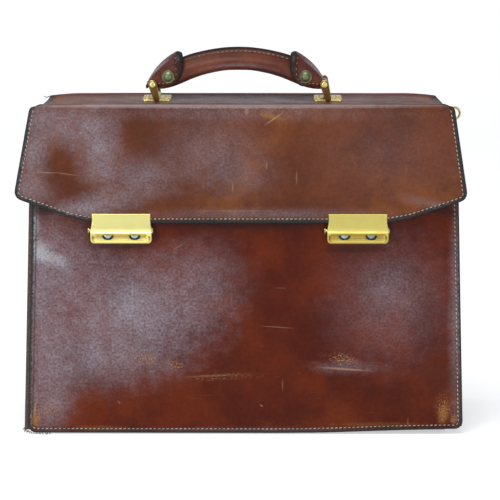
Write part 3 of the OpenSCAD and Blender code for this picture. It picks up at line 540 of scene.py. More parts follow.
def round_seam(width, top):
    """The seam round three sides of a sheet, from its upper left round the foot to its upper right."""
    left = [(seam_in, top - (top - 14) * k / 24) for k in range(25)]
    foot = [(14 + (width - 28) * k / 30, seam_in) for k in range(31)]
    bend = [(seam_in, 9), (seam_in, 6.5), (seam_in, seam_in), (6.5, seam_in), (9, seam_in)]
    right = [(width - a, b) for a, b in reversed(left)]
    return left + bend + foot + [(width - a, b) for a, b in reversed(bend)] + right


front_seam = round_seam(base_w, front_v - 3)
sew("front_stitches", [line_of(front_outline, front_seam[26:])], front_sheet, "front_wall")
black_thread = thread_material("blackened_thread", (0.035, 0.026, 0.022), (0.17, 0.13, 0.11))
sew("front_left_stitches", [line_of(front_outline, front_seam[:27])], front_sheet, "front_wall", cord=black_thread)


# Corner frays: ends of the blackened thread and shreds of hide, torn loose at the lower left corner where the
# case has been set down over the years.
def strand(bm, line, thick):
    """A loose end of thread or of torn hide through the given places."""
    for a, b in zip(line, line[1:]):
        way = Vector(b) - Vector(a)
        turn = way.to_track_quat("Z", "Y").to_matrix().to_4x4()
        bmesh.ops.create_cone(bm, cap_ends=True, segments=5, radius1=thick * mm, radius2=thick * 0.8 * mm,
                              depth=way.length * 1.15 * mm,
                              matrix=Matrix.Translation((Vector(a) + way / 2) * mm) @ turn)


strand_t = 0.42
bm = bmesh.new()
for k in range(18):
    x = -206.5 + 24 * (k / 17) ** 1.7 + noise.noise(Vector((k * 3.7, 0, 5)))
    start = Vector((x, -58.6 + (x + 206) * 0.01, 1.2 + 5.5 * max(0, 1 - k / 9)))
    aside, up = noise.noise(Vector((k * 5.3, 1, 0))) - (0.7 if k < 9 else 0), noise.noise(Vector((k * 2.9, 8, 3)))
    way, bend = Vector((aside, -0.5, up - 0.4)), Vector((noise.noise(Vector((k, 6.5, 2))), 0, -0.3))
    size = 1.6 + 2.6 * abs(noise.noise(Vector((k * 7.1, 4, 1))))
    line = [start, start + way * size * 0.5, start + (way + bend) * size]
    strand(bm, [(x, y, max(0.3, z)) for x, y, z in line], strand_t)
frays = finish_piece(bm, "corner_frays", black_thread, 60)
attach(frays, "front_wall")

# Flap and top: one heavy hide from the back of the top, over a worn crease, down to the locks. Its lower
# corners are cut back, its edges painted dark and sewn, and it bends where the top ends.
flap_side, flap_len, flap_low_w, flap_top_w, flap_flat_w = 82, 109, 420, 386, 286
flap_corner_r = 7.4
arc_len = crease_r * (math.pi / 2 - lean)
top_front_y, top_end_y, shoulder_half, top_half = axis_y + crease_r + 0.3, 14.2, 183, 189
corner_drop, top_extra, low_extra = {-1: 3.3, 1: 4.4}, {-1: 4.4, 1: 4.0}, {-1: 3.7, 1: 0.7}
crease_corner, crease_droop, end_sink, back_pull = 3.4, 0.6, 2.4, 1.6
top_taper = (top_half - shoulder_half) / (17.19 - top_front_y)
fold_len = flap_len + arc_len + (top_end_y - axis_y)
flap_rows = sorted([r for r in spread(fold_len, 6.0) if not flap_len - 7 < r < flap_len + 9] + [
    flap_len + d for d in (-6.5, -5, -3.5, -2, -1, -0.3, 0, 0.5, 1, 1.5, 2, 2.5, 3, 3.5, arc_len, 4.6, 5.6, 7.2)])


def flap_outline(a, b):
    """Flat place for distances from the left edge and from the lower edge; y = 0 on the crease."""
    hand = -1 if a < flap_low_w / 2 else 1
    side = min(a, flap_low_w - a)
    side, b = rounded(side, b, flap_corner_r)
    share = 1 - side / (flap_low_w / 2)
    reach, corner = share * flap_low_w / 2, flap_side + corner_drop[hand]
    foot = -flap_len + max(0, reach - flap_flat_w / 2) * (flap_len - corner) / ((flap_low_w - flap_flat_w) / 2)
    foot += 1.6 * math.exp(-((reach - flap_flat_w / 2) / 9) ** 2)
    if b < 8:
        y = foot + b
    elif b < flap_len:
        y = (foot + 8) * (flap_len - b) / (flap_len - 8)
    else:
        y = b - flap_len
    low = min(1, max(0, -y / corner))
    extra = top_extra[hand] + (low_extra[hand] - top_extra[hand]) * low
    half = flap_top_w / 2 + (flap_low_w - flap_top_w) / 2 * low + extra
    half -= crease_corner * (1 - math.sqrt(1 - min(1, max(0, (y + 4.2) / 5)) ** 2))
    half += (top_half - half) * min(1, max(0, (y - 0.4) / 3)) - top_taper * max(0, y - arc_len)
    return hand * share * half, y


def crown(x):
    """How far the top has sunk at its two ends."""
    return end_sink * (max(0, abs(x) - 150) / 33) ** 2


def drooped(x, y):
    """How far the crease has given way at its left end."""
    return crease_droop * smooth((-x - 90) / 90) * max(0, 1 - abs(y - arc_len / 2) / 16)


def back_rise(y, z):
    """How far the top has been pulled up behind the handle."""
    return back_pull * smooth((y - 9.5) / 8) * smooth((z - 285) / 26)


def flap_sheet(x, y, depth):
    if y < 0:
        bulge = 0.6 * smooth((y + 7) / 7)
        calm = smooth(-y / 14) * smooth((flap_len + y) / 10)
        sag = calm * ripple(x, y, 8.4, 0.7)
        out = flap_gap + flap_t + flap_lining_t + bulge + sag
        return on_front(x, axis_v + y, out - depth) - Vector((0, 0, drooped(x, y)))
    if y < arc_len:
        turn = math.pi - lean - y / crease_r
        r = crease_r - min(depth, 2.3)
        return Vector((x, axis_y + r * math.cos(turn), axis_z + r * math.sin(turn) - drooped(x, y)))
    over = axis_y + y - arc_len
    calm = smooth((y - arc_len) / 10) * smooth((top_end_y - over) / 6)
    sunk = crown(x) * smooth((y - arc_len) / 14) + drooped(x, y)
    return Vector((x, over, case_h + back_rise(over, case_h) - depth - sunk + calm * (ripple(x, over, 5.5, 0.5) - 0.2)))


def flap_at(kind, u, v, reach_u, reach_v, turn, strength):
    """A mark at a pixel place on the photograph's flap or top."""
    return kind, (u - 243.5) * 0.93, -(v - 104.5) * 0.93, reach_u * 0.93, reach_v * 0.93, turn, strength


flap_marks = gathered(
    flap_at,
    # The sheens are painted light reflected off the flap, the crease and the top, each over a thin wax coat
    haze=((34, 150, 26, 92, 8, 0.68), (100, 143, 36, 62, 0, 0.84), (140, 174, 66, 32, 0, 0.55),
          (88, 206, 100, 20, -13, 0.8), (245, 176, 60, 30, 0, 0.2), (214, 150, 80, 56, 0, 0.4),
          (66, 114, 80, 22, 0, 0.45), (240, 112, 230, 12, 0, 0.25), (270, 212, 190, 10, 0, 0.35),
          (432, 202, 50, 9, 13, 0.3), (240, 104.9, 240, 2.4, 0, 1.0), (240, 72, 270, 48, 0, 0.8),
          (36, 191, 30, 24, 0, 0.42), (66, 130, 42, 26, 0, 0.55), (390, 150, 120, 70, 0, 0.12)),
    tan=((272, 114, 16, 4, 10, 0.8),),
    line=((276, 116, 15, 1.2, -35, 0.9), (248, 109, 3, 6, 0, 0.6), (46, 170.6, 16, 1, 1, 0.6),
          (68, 172, 16, 0.9, 8, 0.55), (268, 164, 1.2, 6, 0, 0.6), (234, 185, 1, 7, 0, 0.5), (298, 175, 1, 9, 0, 0.5),
          # The last stroke paints a pale highlight along the crease
          (240, 209, 60, 0.9, 0, 0.35), (240, 105, 240, 1.2, 0, 0.4)),
    wrinkle=((60, 172, 40, 14, 0, 0.8),),
    worn=((268, 108, 60, 4, 0, 0.6), (420, 112, 40, 6, 0, 0.15)),
    # dark paints the top darker, as painted shade
    dark=((240, 98, 250, 5, 0, 0.45), (240, 75, 260, 40, 0, 0.3))) + [
    # Two dark strips paint the top's side edges; the gleams are painted highlights along the crease
    ("dark", -182, 27, 5, 36, 11, 0.9), ("dark", 182, 27, 5, 36, -11, 0.9), ("gleam", 20, 1.3, 260, 2.2, 0, 0.5),
    ("gleam", -120, 1.3, 110, 2.4, 0, 0.4)]
flap_hide = hide_material("flap_hide", (0.155, 0.042, 0.0165), (0.105, 0.029, 0.0135), (0.235, 0.075, 0.020), 0.37,
                          0.45, 0.2, 0.8, flap_marks, edge=(0.027, 0.034, 0.031, 1), painted=2.7)
flesh = fibrous_material("hide_underside", (0.085, 0.058, 0.040), (0.17, 0.115, 0.075), (40, 4, 0.55, 0.3, 0.7),
                         (900, 4, 0.75), 0.9, (0.0003, 0.5), sheen=0.25)
flap_piece = cut_sheet("flap_and_top_hide", spread(flap_low_w, 6.5), flap_rows, flap_outline, flap_sheet, flap_t,
                       (flap_hide, flesh), round_in=False, open_end=True)
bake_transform(flap_piece)
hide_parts("flap")

flap_seam = [(seam_in, flap_len - 3 - (flap_len - 17) * k / 14) for k in range(15)]
flap_seam += [(seam_in, 9), (seam_in, 6.5), (seam_in, seam_in), (6.5, seam_in), (9, seam_in)]
flap_seam += [(14 + (flap_low_w - 28) * k / 40, seam_in) for k in range(41)]
flap_seam += [(flap_low_w - a, b) for a, b in reversed(flap_seam[:20])]
sew("flap_stitches", [line_of(flap_outline, flap_seam)], flap_sheet, "flap")

# Back: a plain hide of the same cut as the front, carried up over a rounded shoulder to meet the top.
shoulder_r, turn_z = 12, case_h - 12
back_turn = base_d / 2 * math.cos(lean) + lift * math.sin(lean)
turn_y = (back_turn - shoulder_r - turn_z * math.sin(lean)) / math.cos(lean)
back_v = (turn_z + shoulder_r * math.sin(lean) - lift) / math.cos(lean)
shoulder_len = shoulder_r * (math.pi / 2 - lean)
back_len = back_v + shoulder_len + turn_y - top_end_y


def back_height(v):
    """The height above the ground of a place up the back and over its shoulder."""
    if v < back_v:
        return lift + v * math.cos(lean)
    return turn_z + shoulder_r * math.sin(min(math.pi / 2, lean + (v - back_v) / shoulder_r))


def back_half(v, hand):
    """The back is cut away at its two upper corners, where it turns over."""
    full = half_w(v, hand)
    shoulder = shoulder_half + top_taper * max(0, v - back_v - shoulder_len)
    return full + (shoulder - full) * min(1, max(0, (back_height(v) - 287) / (case_h - 287)))


def back_sheet(x, v, depth):
    calm = smooth(min(half_w(v) - abs(x), v, back_len - v) / 16)
    out = calm * ripple(x, v, 12.7, 0.8) - depth - crown(x) * smooth((back_height(v) - 297) / 14)
    if v < back_v:
        z = lift + v * math.cos(lean) + out * math.sin(lean)
        return Vector((x, base_d / 2 - v * math.sin(lean) + out * math.cos(lean), z + back_rise(20, z)))
    if v < back_v + shoulder_len:
        turn = lean + (v - back_v) / shoulder_r
        r = shoulder_r + out
        y, z = turn_y + r * math.cos(turn), turn_z + r * math.sin(turn)
        return Vector((x, y, z + back_rise(y, z)))
    y = turn_y - (v - back_v - shoulder_len)
    return Vector((x, y, case_h + back_rise(y, case_h) + out))


def back_outline(a, b):
    hand = -1 if a < base_w / 2 else 1
    x, v = panel_outline(a, b)
    return x * back_half(v, hand) / half_w(v, hand), v


back_rows = [r for r in spread(back_len, 6.5) if r < 283] + [284.5, 286.5, 287.3, 290, 295, back_len - 0.6, back_len]
back_rows = sorted(back_rows + [back_v + shoulder_len * k / 8 for k in range(9)])
back_hide = hide_material("back_hide", (0.125, 0.031, 0.019), (0.066, 0.016, 0.011), (0.19, 0.052, 0.022), 0.42, 0.5,
                          0.2, 0.9, [
    # The three broad sheens are painted light reflected off the back, each over a thin wax coat
    ("tan", -190, 14, 12, 18, 0, 0.8), ("worn", -188, 18, 16, 22, 0, 0.9), ("tan", 192, 13, 12, 15, 0, 0.8),
    ("worn", 188, 16, 15, 20, 0, 0.9), ("haze", -96, 150, 104, 96, 10, 0.26), ("haze", 108, 190, 110, 74, -8, 0.28),
    ("haze", -20, 240, 150, 40, 3, 0.2), ("line", 30, 120, 40, 1.2, 12, 0.5), ("line", -60, 210, 26, 1.1, -20, 0.4),
    ("worn", 10, 60, 30, 10, 5, 0.7), ("tan", 0, 306, 150, 4, 0, 0.4)])
back_piece = cut_sheet("back_hide", front_columns, back_rows, back_outline, back_sheet, hide_t, (back_hide, flesh),
                       open_end=True)
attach(back_piece, "case")
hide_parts("back_panel")
sew("back_stitches", [line_of(back_outline, round_seam(base_w, 290))], back_sheet, "case")

# Loose thread: an end of the back's waxed thread, pulled out of the seam at the upper left corner. It stands
# out in curls and has gone black.
bm = bmesh.new()
start = back_sheet(-181.5, back_v + shoulder_len * 0.6, 0.3)
curl = ((0, 0, 0), (-1.6, -0.4, 0.6), (-3.2, -0.8, 0.2), (-4.6, -1, -0.7), (-6.0, -1, -0.3), (-7.2, -1, 0.7))
strand(bm, [start + Vector(d) for d in curl], strand_t)
loose = finish_piece(bm, "loose_thread", black_thread, 60)
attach(loose, "case")

# Gussets: thinner hide, sewn edge to edge with the front and the back and folded in along the middle, so
# that the sides open like a bellows. Each is one piece.
gusset_h, gusset_foot, flange_w, fold_base, fold_top, gusset_w = 285, 3.4, 14, 4, 30, 151.2


def gusset_line(share, z, hand):
    """A level section of a gusset, from the front flange at 0 in to the fold at 0.5 and out to the back. The left
    one's front edge was left untrimmed, and shows as a raw strip beside the front."""
    y = -base_d / 2 + (z - lift) * math.tan(lean) + (hide_t + gusset_t / 2) / math.cos(lean)
    corner = Vector((half_w(z, hand) - flange_w + gusset_t / 2, y))
    edge = Vector((half_w(z, hand) + (1.2 if hand < 0 and share < 0.5 else -0.8), y))
    valley = Vector((corner.x - fold_base - (fold_top - fold_base) * z / gusset_h, 0))
    half = 1 - abs(2 * share - 1)
    spot = edge.lerp(corner, half / 0.26) if half < 0.26 else corner.lerp(valley, (half - 0.26) / 0.74)
    spot.x += 2.2 * math.sin(math.pi * smooth((half - 0.26) / 0.74)) * z / gusset_h
    return spot if share < 0.5 else Vector((spot.x, -spot.y))


def gusset(side):
    def place(x, z, depth):
        share = x / gusset_w
        around = [gusset_line(min(1, max(0, share + d)), z, side) for d in (-0.022, -0.011, 0, 0.011, 0.022)]
        middle = sum(around, Vector((0, 0))) / 5 if 0.03 < share < 0.97 else around[2]
        along = (around[4] - around[0]).normalized()
        soft = smooth((min(share, 1 - share) - 0.13) / 0.1)
        out = gusset_t / 2 - depth + soft * ripple(share * 150, z, 20.3 + side, 0.7)
        x, y = side * (middle.x + along.y * out), middle.y - along.x * out
        return Vector((x, y, z + foot_lift(x) * smooth((-35 - y) / 12) * max(0, 1 - z / foot_high)))

    word = "left" if side < 0 else "right"
    rows = [(gusset_h - gusset_foot - 2) * k / 44 for k in range(45)]
    made = cut_sheet("gusset_" + word + "_hide", spread(gusset_w, 2.7, (0, 0.4, 1, 1.8)), rows,
                     lambda a, b: (a, b + gusset_foot), place, gusset_t, (side_hide, raw_flesh), False, False)
    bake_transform(made)
    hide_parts("gusset_front_" + word, "gusset_back_" + word)


raw_flesh = fibrous_material("raw_flesh", (0.030, 0.029, 0.032), (0.125, 0.102, 0.078), (600, 5, 0.8, 0.35, 0.62),
                             (600, 5, 0.8), 0.9, (0.0004, 0.7))
side_hide = hide_material("side_hide", (0.112, 0.016, 0.005), (0.070, 0.010, 0.004), (0.150, 0.032, 0.008), 0.42, 0.6,
                          0.5, 0.7, [
    # The two sheens are painted light; the long dark mark paints shade down the fold
    ("haze", 40, 150, 26, 120, 0, 0.45), ("haze", 118, 170, 24, 110, 0, 0.35), ("worn", 26, 12, 18, 14, 0, 0.8),
    ("worn", 124, 12, 18, 14, 0, 0.8), ("line", 60, 96, 14, 1, 24, 0.6), ("line", 104, 60, 9, 0.9, -40, 0.5),
    ("dark", 76, 150, 9, 170, 0, 0.6), ("wrinkle", 76, 240, 60, 60, 0, 1.0)], painted=0.8)
gusset(-1)
gusset(1)

# Base: a flat hide between the front and the back, with its board and lining over it. It is glued to the
# gussets' feet, and lifts a little under the curled foot.
base_half = half_w(0) - flange_w + gusset_t


def base_lift(x, y):
    """The base follows the curled foot, less and less towards the back."""
    return max(0, foot_lift(x) - 0.2 * max(0, y + 56))


base_low_y, base_high_y = -base_d / 2 + hide_t + 0.75, base_d / 2 - hide_t - 0.3
base_piece = cut_sheet("base_hide", spread(2 * base_half, 12), spread(base_high_y - base_low_y, 9),
                       lambda a, b: (a - base_half, base_low_y + b),
                       lambda x, y, depth: Vector((x, y, depth + base_lift(x, y))), hide_t, (back_hide, flesh))
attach(base_piece, "case")
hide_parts("base_leather")

# Boards and linings: pressed fibre boards stiffen the walls and the base, and tan suede split is glued over
# them inside the case and under the flap.
suede = fibrous_material("lining_suede", (0.27, 0.165, 0.095), (0.37, 0.245, 0.15), (24, 5, 0.6, 0.32, 0.68),
                         (1500, 4, 0.8), 0.93, (0.0004, 0.6), between=(0.17, 0.10, 0.06), sheen=0.3)
card = fibrous_material("fibre_board", (0.25, 0.19, 0.13), (0.44, 0.36, 0.26), (1, 5, 0.7, 0.3, 0.7), (1, 5, 0.7), 0.85,
                        (0.0002, 0.5), drawn=(300, 900, 900))


def dress(finish, *nodes):
    """Gives its material to pieces that are carried over from the solids."""
    for node in nodes:
        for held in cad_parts[node].material_slots:
            held.material = finish


dress(card, "front_board", "back_board", "base_board")
wall_t, board_low = hide_t + board_t + lining_t, 7.6
board_half = base_w / 2 - flange_w - 3.5


def lining_outline(a, b):
    side, low = rounded(min(a, 2 * board_half - a), b, corner_r)
    v = board_low + low
    x = (half_w(v) - flange_w - 3.5) * (1 - side / board_half)
    return (-x if a < board_half else x), v


def front_lining_sheet(x, v, depth):
    return on_front(x, v, -wall_t + depth + 0.2 * ripple(x, v, 31, 0.5))


def back_lining_sheet(x, v, depth):
    out = wall_t - depth + 0.2 * ripple(x, v, 37, 0.5)
    return Vector((x, base_d / 2 - v * math.sin(lean) - out * math.cos(lean),
                   lift + v * math.cos(lean) - out * math.sin(lean)))


def line_wall(name, height, place, body, node):
    """The suede on the inside of a wall, to a height above the board's foot."""
    made = cut_sheet(name, spread(2 * board_half, 12), spread(height, 12), lining_outline, place, lining_t, suede)
    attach(made, body)
    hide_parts(node)


line_wall("front_suede", front_v - 1 - board_low, front_lining_sheet, "front_wall", "front_lining")
line_wall("back_suede", turn_z - 16 - board_low, back_lining_sheet, "case", "back_lining")
base_suede = cut_sheet("base_suede", spread(2 * base_half - 6, 12), spread(base_high_y - base_low_y - 6, 9),
                       lambda a, b: (a - base_half + 3, base_low_y + 3 + b),
                       lambda x, y, depth: Vector((x, y, hide_t + board_t + lining_t - depth + base_lift(x, y))),
                       lining_t, suede)
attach(base_suede, "case")
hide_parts("base_lining")


def flap_lining_outline(a, b):
    x, y = flap_outline(a, min(b, flap_len - 3.8))
    return x * (1 - 1.1 / (flap_low_w / 2)), y + 1.1 * smooth((-y - 70) / 30)


flap_lining_rows = [r for r in spread(fold_len, 9) if r < flap_len - 7] + [flap_len - 5.2, flap_len - 3.8]
flap_suede = cut_sheet("flap_suede", spread(flap_low_w, 9), flap_lining_rows, flap_lining_outline,
                       lambda x, y, depth: flap_sheet(x, y, flap_t + 0.02 + depth), flap_lining_t, suede)
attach(flap_suede, "flap")
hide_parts("flap_lining")
top_suede = cut_sheet("top_suede", spread(284, 12), spread(42, 6), lambda a, b: (a - 142, b - 26),
                      lambda x, y, depth: Vector((x, y, case_h - 7 + depth)), lining_t, suede)
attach(top_suede, "case")
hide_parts("top_lining")

# Divider: two suede splits glued back to back over card. A strip of the dark hide is folded over its upper
# edge and sewn through.
divider_low, divider_high, divider_t = 6.1, 281, 2.4


def divider_half(z):
    return half_w(z) - flange_w - 3 - (fold_top - fold_base) * z / gusset_h - 3.6


def divider_outline(a, b):
    z = divider_low + b
    return divider_half(z) * (a / 160 - 1), z


divider = cut_sheet("divider_suede", spread(320, 12), spread(divider_high - divider_low, 10), divider_outline,
                    lambda x, z, depth: Vector((x, ripple(x, z, 41, 0.12) - divider_t / 2 + depth, z)),
                    divider_t, suede)
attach(divider, "divider")
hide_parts("divider")
bound_half = divider_half(divider_high) - 0.4


def binding(x, s, depth):
    """s runs from the strip's front edge over the divider's upper edge to its back edge."""
    r = divider_t / 2 + 0.85 - depth
    if abs(s) < 2:
        return Vector((x, r * math.sin(s * math.pi / 4), divider_high - 0.4 + r * math.cos(s * math.pi / 4)))
    return Vector((x, math.copysign(r, s), divider_high - 0.4 - abs(s) + 2))


bound = cut_sheet("divider_binding", spread(2 * bound_half, 12), [k * 0.5 for k in range(45)],
                  lambda a, b: (a - bound_half, b - 11), binding, 0.8, body_hide, True, False)
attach(bound, "divider")
sew("divider_stitches", [[(x * 10 - 150, s) for x in range(31)] for s in (-8.4, 8.4)], binding, "divider")

# Steel: a long strip under the top leather carries the handle plates and the ring brackets; small plates and
# rivets back the locks. All of it is plain rolled steel.
metal, put, get = group("worn metal", [("Vector", "Vector", (0, 0, 0)), ("Bright", "Color", (0.8, 0.7, 0.4, 1)),
                                       ("Dull", "Color", (0.4, 0.3, 0.1, 1)), ("Age", "Float", 0.5)],
                        [("Color", "Color"), ("Rough", "Float"), ("Height", "Float")])
blotch = ease(metal, cloud(metal, put["Vector"], 70, 5, 0.62), 0.38, 0.7)
specks = ease(metal, cloud(metal, put["Vector"], 520, 4, 0.7), 0.56, 0.68)
drawn = cloud(metal, stretched(metal, put["Vector"], 0, (70, 3200, 3200)), 1, 2, 0.5)
aged = calc(metal, "MULTIPLY", calc(metal, "MAXIMUM", calc(metal, "MULTIPLY", blotch, 0.8), specks), put["Age"])
shade = tint(metal, aged, put["Bright"], put["Dull"])
metal.links.new(tint(metal, ease(metal, drawn, 0.3, 0.7, 0.0, 0.12), shade, put["Dull"]), get["Color"])
metal.links.new(calc(metal, "MULTIPLY_ADD", aged, 0.22, calc(metal, "MULTIPLY", drawn, 0.12)), get["Rough"])
metal.links.new(calc(metal, "MULTIPLY_ADD", specks, -0.6, drawn), get["Height"])


def metal_material(name, bright, dull, age, rough, hollow=None, coat=0.0):
    """Satin metal. hollow is the colour of painted shade in its deep places, given by the piece's own attribute."""
    made, tree, surface = bare_material(name)
    place = add(tree, "ShaderNodeTexCoord").outputs["Object"]
    wear = add(tree, "ShaderNodeGroup", {"Vector": place, "Bright": (*bright, 1), "Dull": (*dull, 1), "Age": age},
               node_tree=metal)
    shade = wear.outputs["Color"]
    if hollow:
        deep = add(tree, "ShaderNodeAttribute", attribute_name="hollow").outputs["Fac"]
        shade = tint(tree, deep, shade, (*hollow, 1))
    bump = add(tree, "ShaderNodeBump", {"Height": wear.outputs["Height"], "Distance": 0.00004, "Strength": 0.5})
    shader = add(tree, "ShaderNodeBsdfPrincipled", {
        "Base Color": shade, "Metallic": 1.0, "Roughness": calc(tree, "ADD", wear.outputs["Rough"], rough),
        "Normal": bump.outputs[0], "Coat Weight": coat, "Coat Roughness": 0.15})
    tree.links.new(shader.outputs[0], surface)
    return made


plain_steel = metal_material("plain_steel", (0.50, 0.51, 0.53), (0.22, 0.17, 0.13), 0.5, 0.36)
dress(plain_steel, "top_strip", "strike_backing_left", "strike_backing_right", "strike_rivets", "hasp_backing_left",
      "hasp_backing_right", "hasp_rivets", "bracket_rivets", "handle_core")

# Locks: a formed brass plate riveted to the flap's lower edge. It sweeps out into a lip over a hollow, in which
# two plain dials turn behind a slot; under it is the strike plate with its post on the front wall.
lock_x, lock_shift, lock_v, lock_half = 110.5, 2.5, axis_v - flap_len, 27.5
face_w, lip_w, floor_w, sweep_v, lip_v = 7.8, 11, 6.6, 3, -8.0
mouth_half, mouth_corner, mouth_high, mouth_low = 26.1, 3.6, -9.0, -17.2
dial_x, dial_v, dial_r, bar_v, bar_w = 12.5, -10.4, 5.6, -7.2, 3.5
brass = metal_material("satin_brass", (0.88, 0.74, 0.30), (0.56, 0.38, 0.10), 0.35, 0.24, (0.72, 0.42, 0.07), 0.25)
# The left lock's brass is painted brighter and the right's darker, as painted light and shade; each paints shade in its
# hollow
lock_brass = (
    metal_material("lock_brass_left", (1.0, 0.93, 0.37), (0.92, 0.76, 0.22), 0.3, 0.33, (0.66, 0.34, 0.05), 0.1),
    metal_material("lock_brass_right", (0.74, 0.64, 0.19), (0.60, 0.44, 0.10), 0.3, 0.44, (0.56, 0.27, 0.03), 0.0))
old_brass = metal_material("old_brass", (0.30, 0.32, 0.17), (0.10, 0.12, 0.07), 0.8, 0.30)
dress(brass, "lock_cover_left", "lock_cover_right", "handle_plate_rivets", "ring_bracket_left", "ring_bracket_right",
      "strap_ring_left", "strap_ring_right")
dress(old_brass, "strike_left", "strike_right")


def lock_place(side):
    """A lock's frame, on the flap's lower edge: x along the lock, y up the front wall, z out of it."""
    spot = on_front(side * lock_x - lock_shift, lock_v, 0) * mm
    up, out = Vector((0, math.sin(lean), math.cos(lean))), Vector((0, -math.cos(lean), math.sin(lean)))
    return Matrix.Translation(spot) @ Matrix((Vector((1, 0, 0)), up, out)).transposed().to_4x4()


def lip_face(v):
    """How far the lip's face stands out. It leans in a little towards its lower edge."""
    return lip_w - 0.1 * (lip_v - 0.9 - v)


def lock_section(x):
    """The lock's outline at a place along it: height, distance out of the front, and how much painted shade its hollow
    takes there.
    """
    reach = abs(x)
    bend = max(0, min(mouth_corner, reach - mouth_half + mouth_corner))
    cut = mouth_corner - math.sqrt(mouth_corner ** 2 - bend ** 2)
    open_by = math.sqrt(1 - min(1, max(0, (reach - mouth_half + 4) / 4)) ** 2)
    high, low = mouth_high - cut * 0.8, mouth_low + cut
    near_dial = (dial_r + 0.3) ** 2 - (reach - dial_x) ** 2
    slot_v = max(-11.0, dial_v + math.sqrt(near_dial)) if near_dial > 0 else -11.0
    line = [(9, 6), (9, 7.2), (8.85, 7.6), (8.5, face_w), (6.5, face_w), (4.5, face_w)]
    for k in range(9):
        line.append((sweep_v + (lip_v - sweep_v) * k / 8, face_w + 2.6 * (k / 8) ** 2.2))
    line += [(-8.2, 10.62), (-8.4, 10.82), (-8.65, 10.95), (-8.95, 11)]
    line = [(v, w, 0) for v, w in line]
    dug = [(high - 0.1, lip_face(high)), (high - 0.3, lip_face(high) - 0.25), (-9.8, 10.2), (-10.4, 9.4),
           (-10.8, 8.8), (-11.0, 8.6), (slot_v, 8.5), (slot_v, 6.5), (-11.6, 6.5), (-12.4, 6.5), (-13.3, 6.7),
           (-14.3, 7.2), (-15.2, 7.9), (-16.0, 8.7), (-16.7, 9.6), (low, lip_face(low))]
    for k, (v, w) in enumerate(dug):
        share = k / (len(dug) - 1)
        flat_v = high + (low - high) * share
        flat_w = lip_face(flat_v)
        if k not in (6, 7):
            v = min(high, max(low, v))
        # Painted shade: strong on the hollow's upper wall, which faces down, and almost none in the lower trough, which
        # faces up
        deep = open_by * min(1, max(0, (flat_w - w) / 5))
        line.append((flat_v + (v - flat_v) * open_by, flat_w + (w - flat_w) * open_by,
                     deep * (0.9 if k < 10 else 0.03)))
    line += [(v, w, 0) for v, w in ((-17.7, 10.0), (-18.2, 9.7), (-18.7, 9.1), (-19, 8.2), (-19.1, 6), (-19.1, 1.2),
                                    (-0.6, 1.2), (-0.6, 6))]
    beyond = max(0, reach - lock_half + 4.6)
    foot = -19.1 + 4.6 - math.sqrt(max(0, 4.6 ** 2 - beyond ** 2))
    return [(max(v, foot), w, deep) for v, w, deep in line]


def lock_flare(v):
    """The plate is waisted under its upper edge and widest at the lip."""
    return 1 + 0.040 * smooth((2 - v) / 9) - 0.016 * math.exp(-((v - 3) / 3.5) ** 2)


def loft(bm, stations, section, place=None):
    """A closed tube of one outline at each station, its two ends filled."""
    hollow, count = bm.verts.layers.float.new("hollow"), len(section(stations[0]))
    made = bmesh.ops.create_grid(bm, x_segments=len(stations) - 1, y_segments=count, size=1)["verts"]
    for v in made:
        i, j = round((v.co.x + 1) / 2 * (len(stations) - 1)), round((v.co.y + 1) / 2 * count)
        x, y, z, deep = section(stations[i])[j % count]
        v.co = Vector((x, y, z)) * mm
        v[hollow] = deep
    if place:
        bmesh.ops.transform(bm, matrix=place, verts=made)
    bmesh.ops.remove_doubles(bm, verts=made, dist=1e-7)
    rim = [e for e in bm.edges if e.is_boundary]
    bmesh.ops.holes_fill(bm, edges=rim, sides=0)


def lock_station(x):
    """The outline at x, drawn in a little at the two ends to round them."""
    line = lock_section(x)
    tight = max(0, abs(x) - lock_half + 0.9) / 0.9
    drawn_in = 0.8 * (1 - math.sqrt(1 - min(1, tight) ** 2))
    found = []
    for k, (v, w, deep) in enumerate(line):
        (v0, w0, _), (v1, w1, _) = line[k - 1], line[(k + 1) % len(line)]
        length = math.hypot(v1 - v0, w1 - w0) or 1
        found.append((x * lock_flare(v), v + (w1 - w0) / length * drawn_in, w - (v1 - v0) / length * -drawn_in, deep))
    return found


def turned(bm, profile, place=None, steps=32, knurl=0.0):
    """A turned piece: its profile of radius and height is spun about the z axis of its place. knurl draws in every
    second rib of its rim."""
    before = set(bm.verts)
    spots = [bm.verts.new((r * mm, 0, h * mm)) for r, h in profile]
    edges = [bm.edges.new(pair) for pair in zip(spots, spots[1:])]
    bmesh.ops.spin(bm, geom=spots + edges, cent=(0, 0, 0), axis=(0, 0, 1), angle=2 * math.pi, steps=steps,
                   use_merge=True)
    made = [v for v in bm.verts if v not in before]
    bmesh.ops.remove_doubles(bm, verts=made, dist=1e-6)
    made = [v for v in bm.verts if v not in before]
    outer = max(r for r, h in profile) * mm
    for v in made:
        r = math.hypot(v.co.x, v.co.y)
        if knurl and r > outer * 0.93:
            turn = round(math.atan2(v.co.y, v.co.x) / (2 * math.pi / steps))
            v.co.xy *= 1 - knurl * (turn % 2)
    if place:
        bmesh.ops.transform(bm, matrix=place, verts=made)


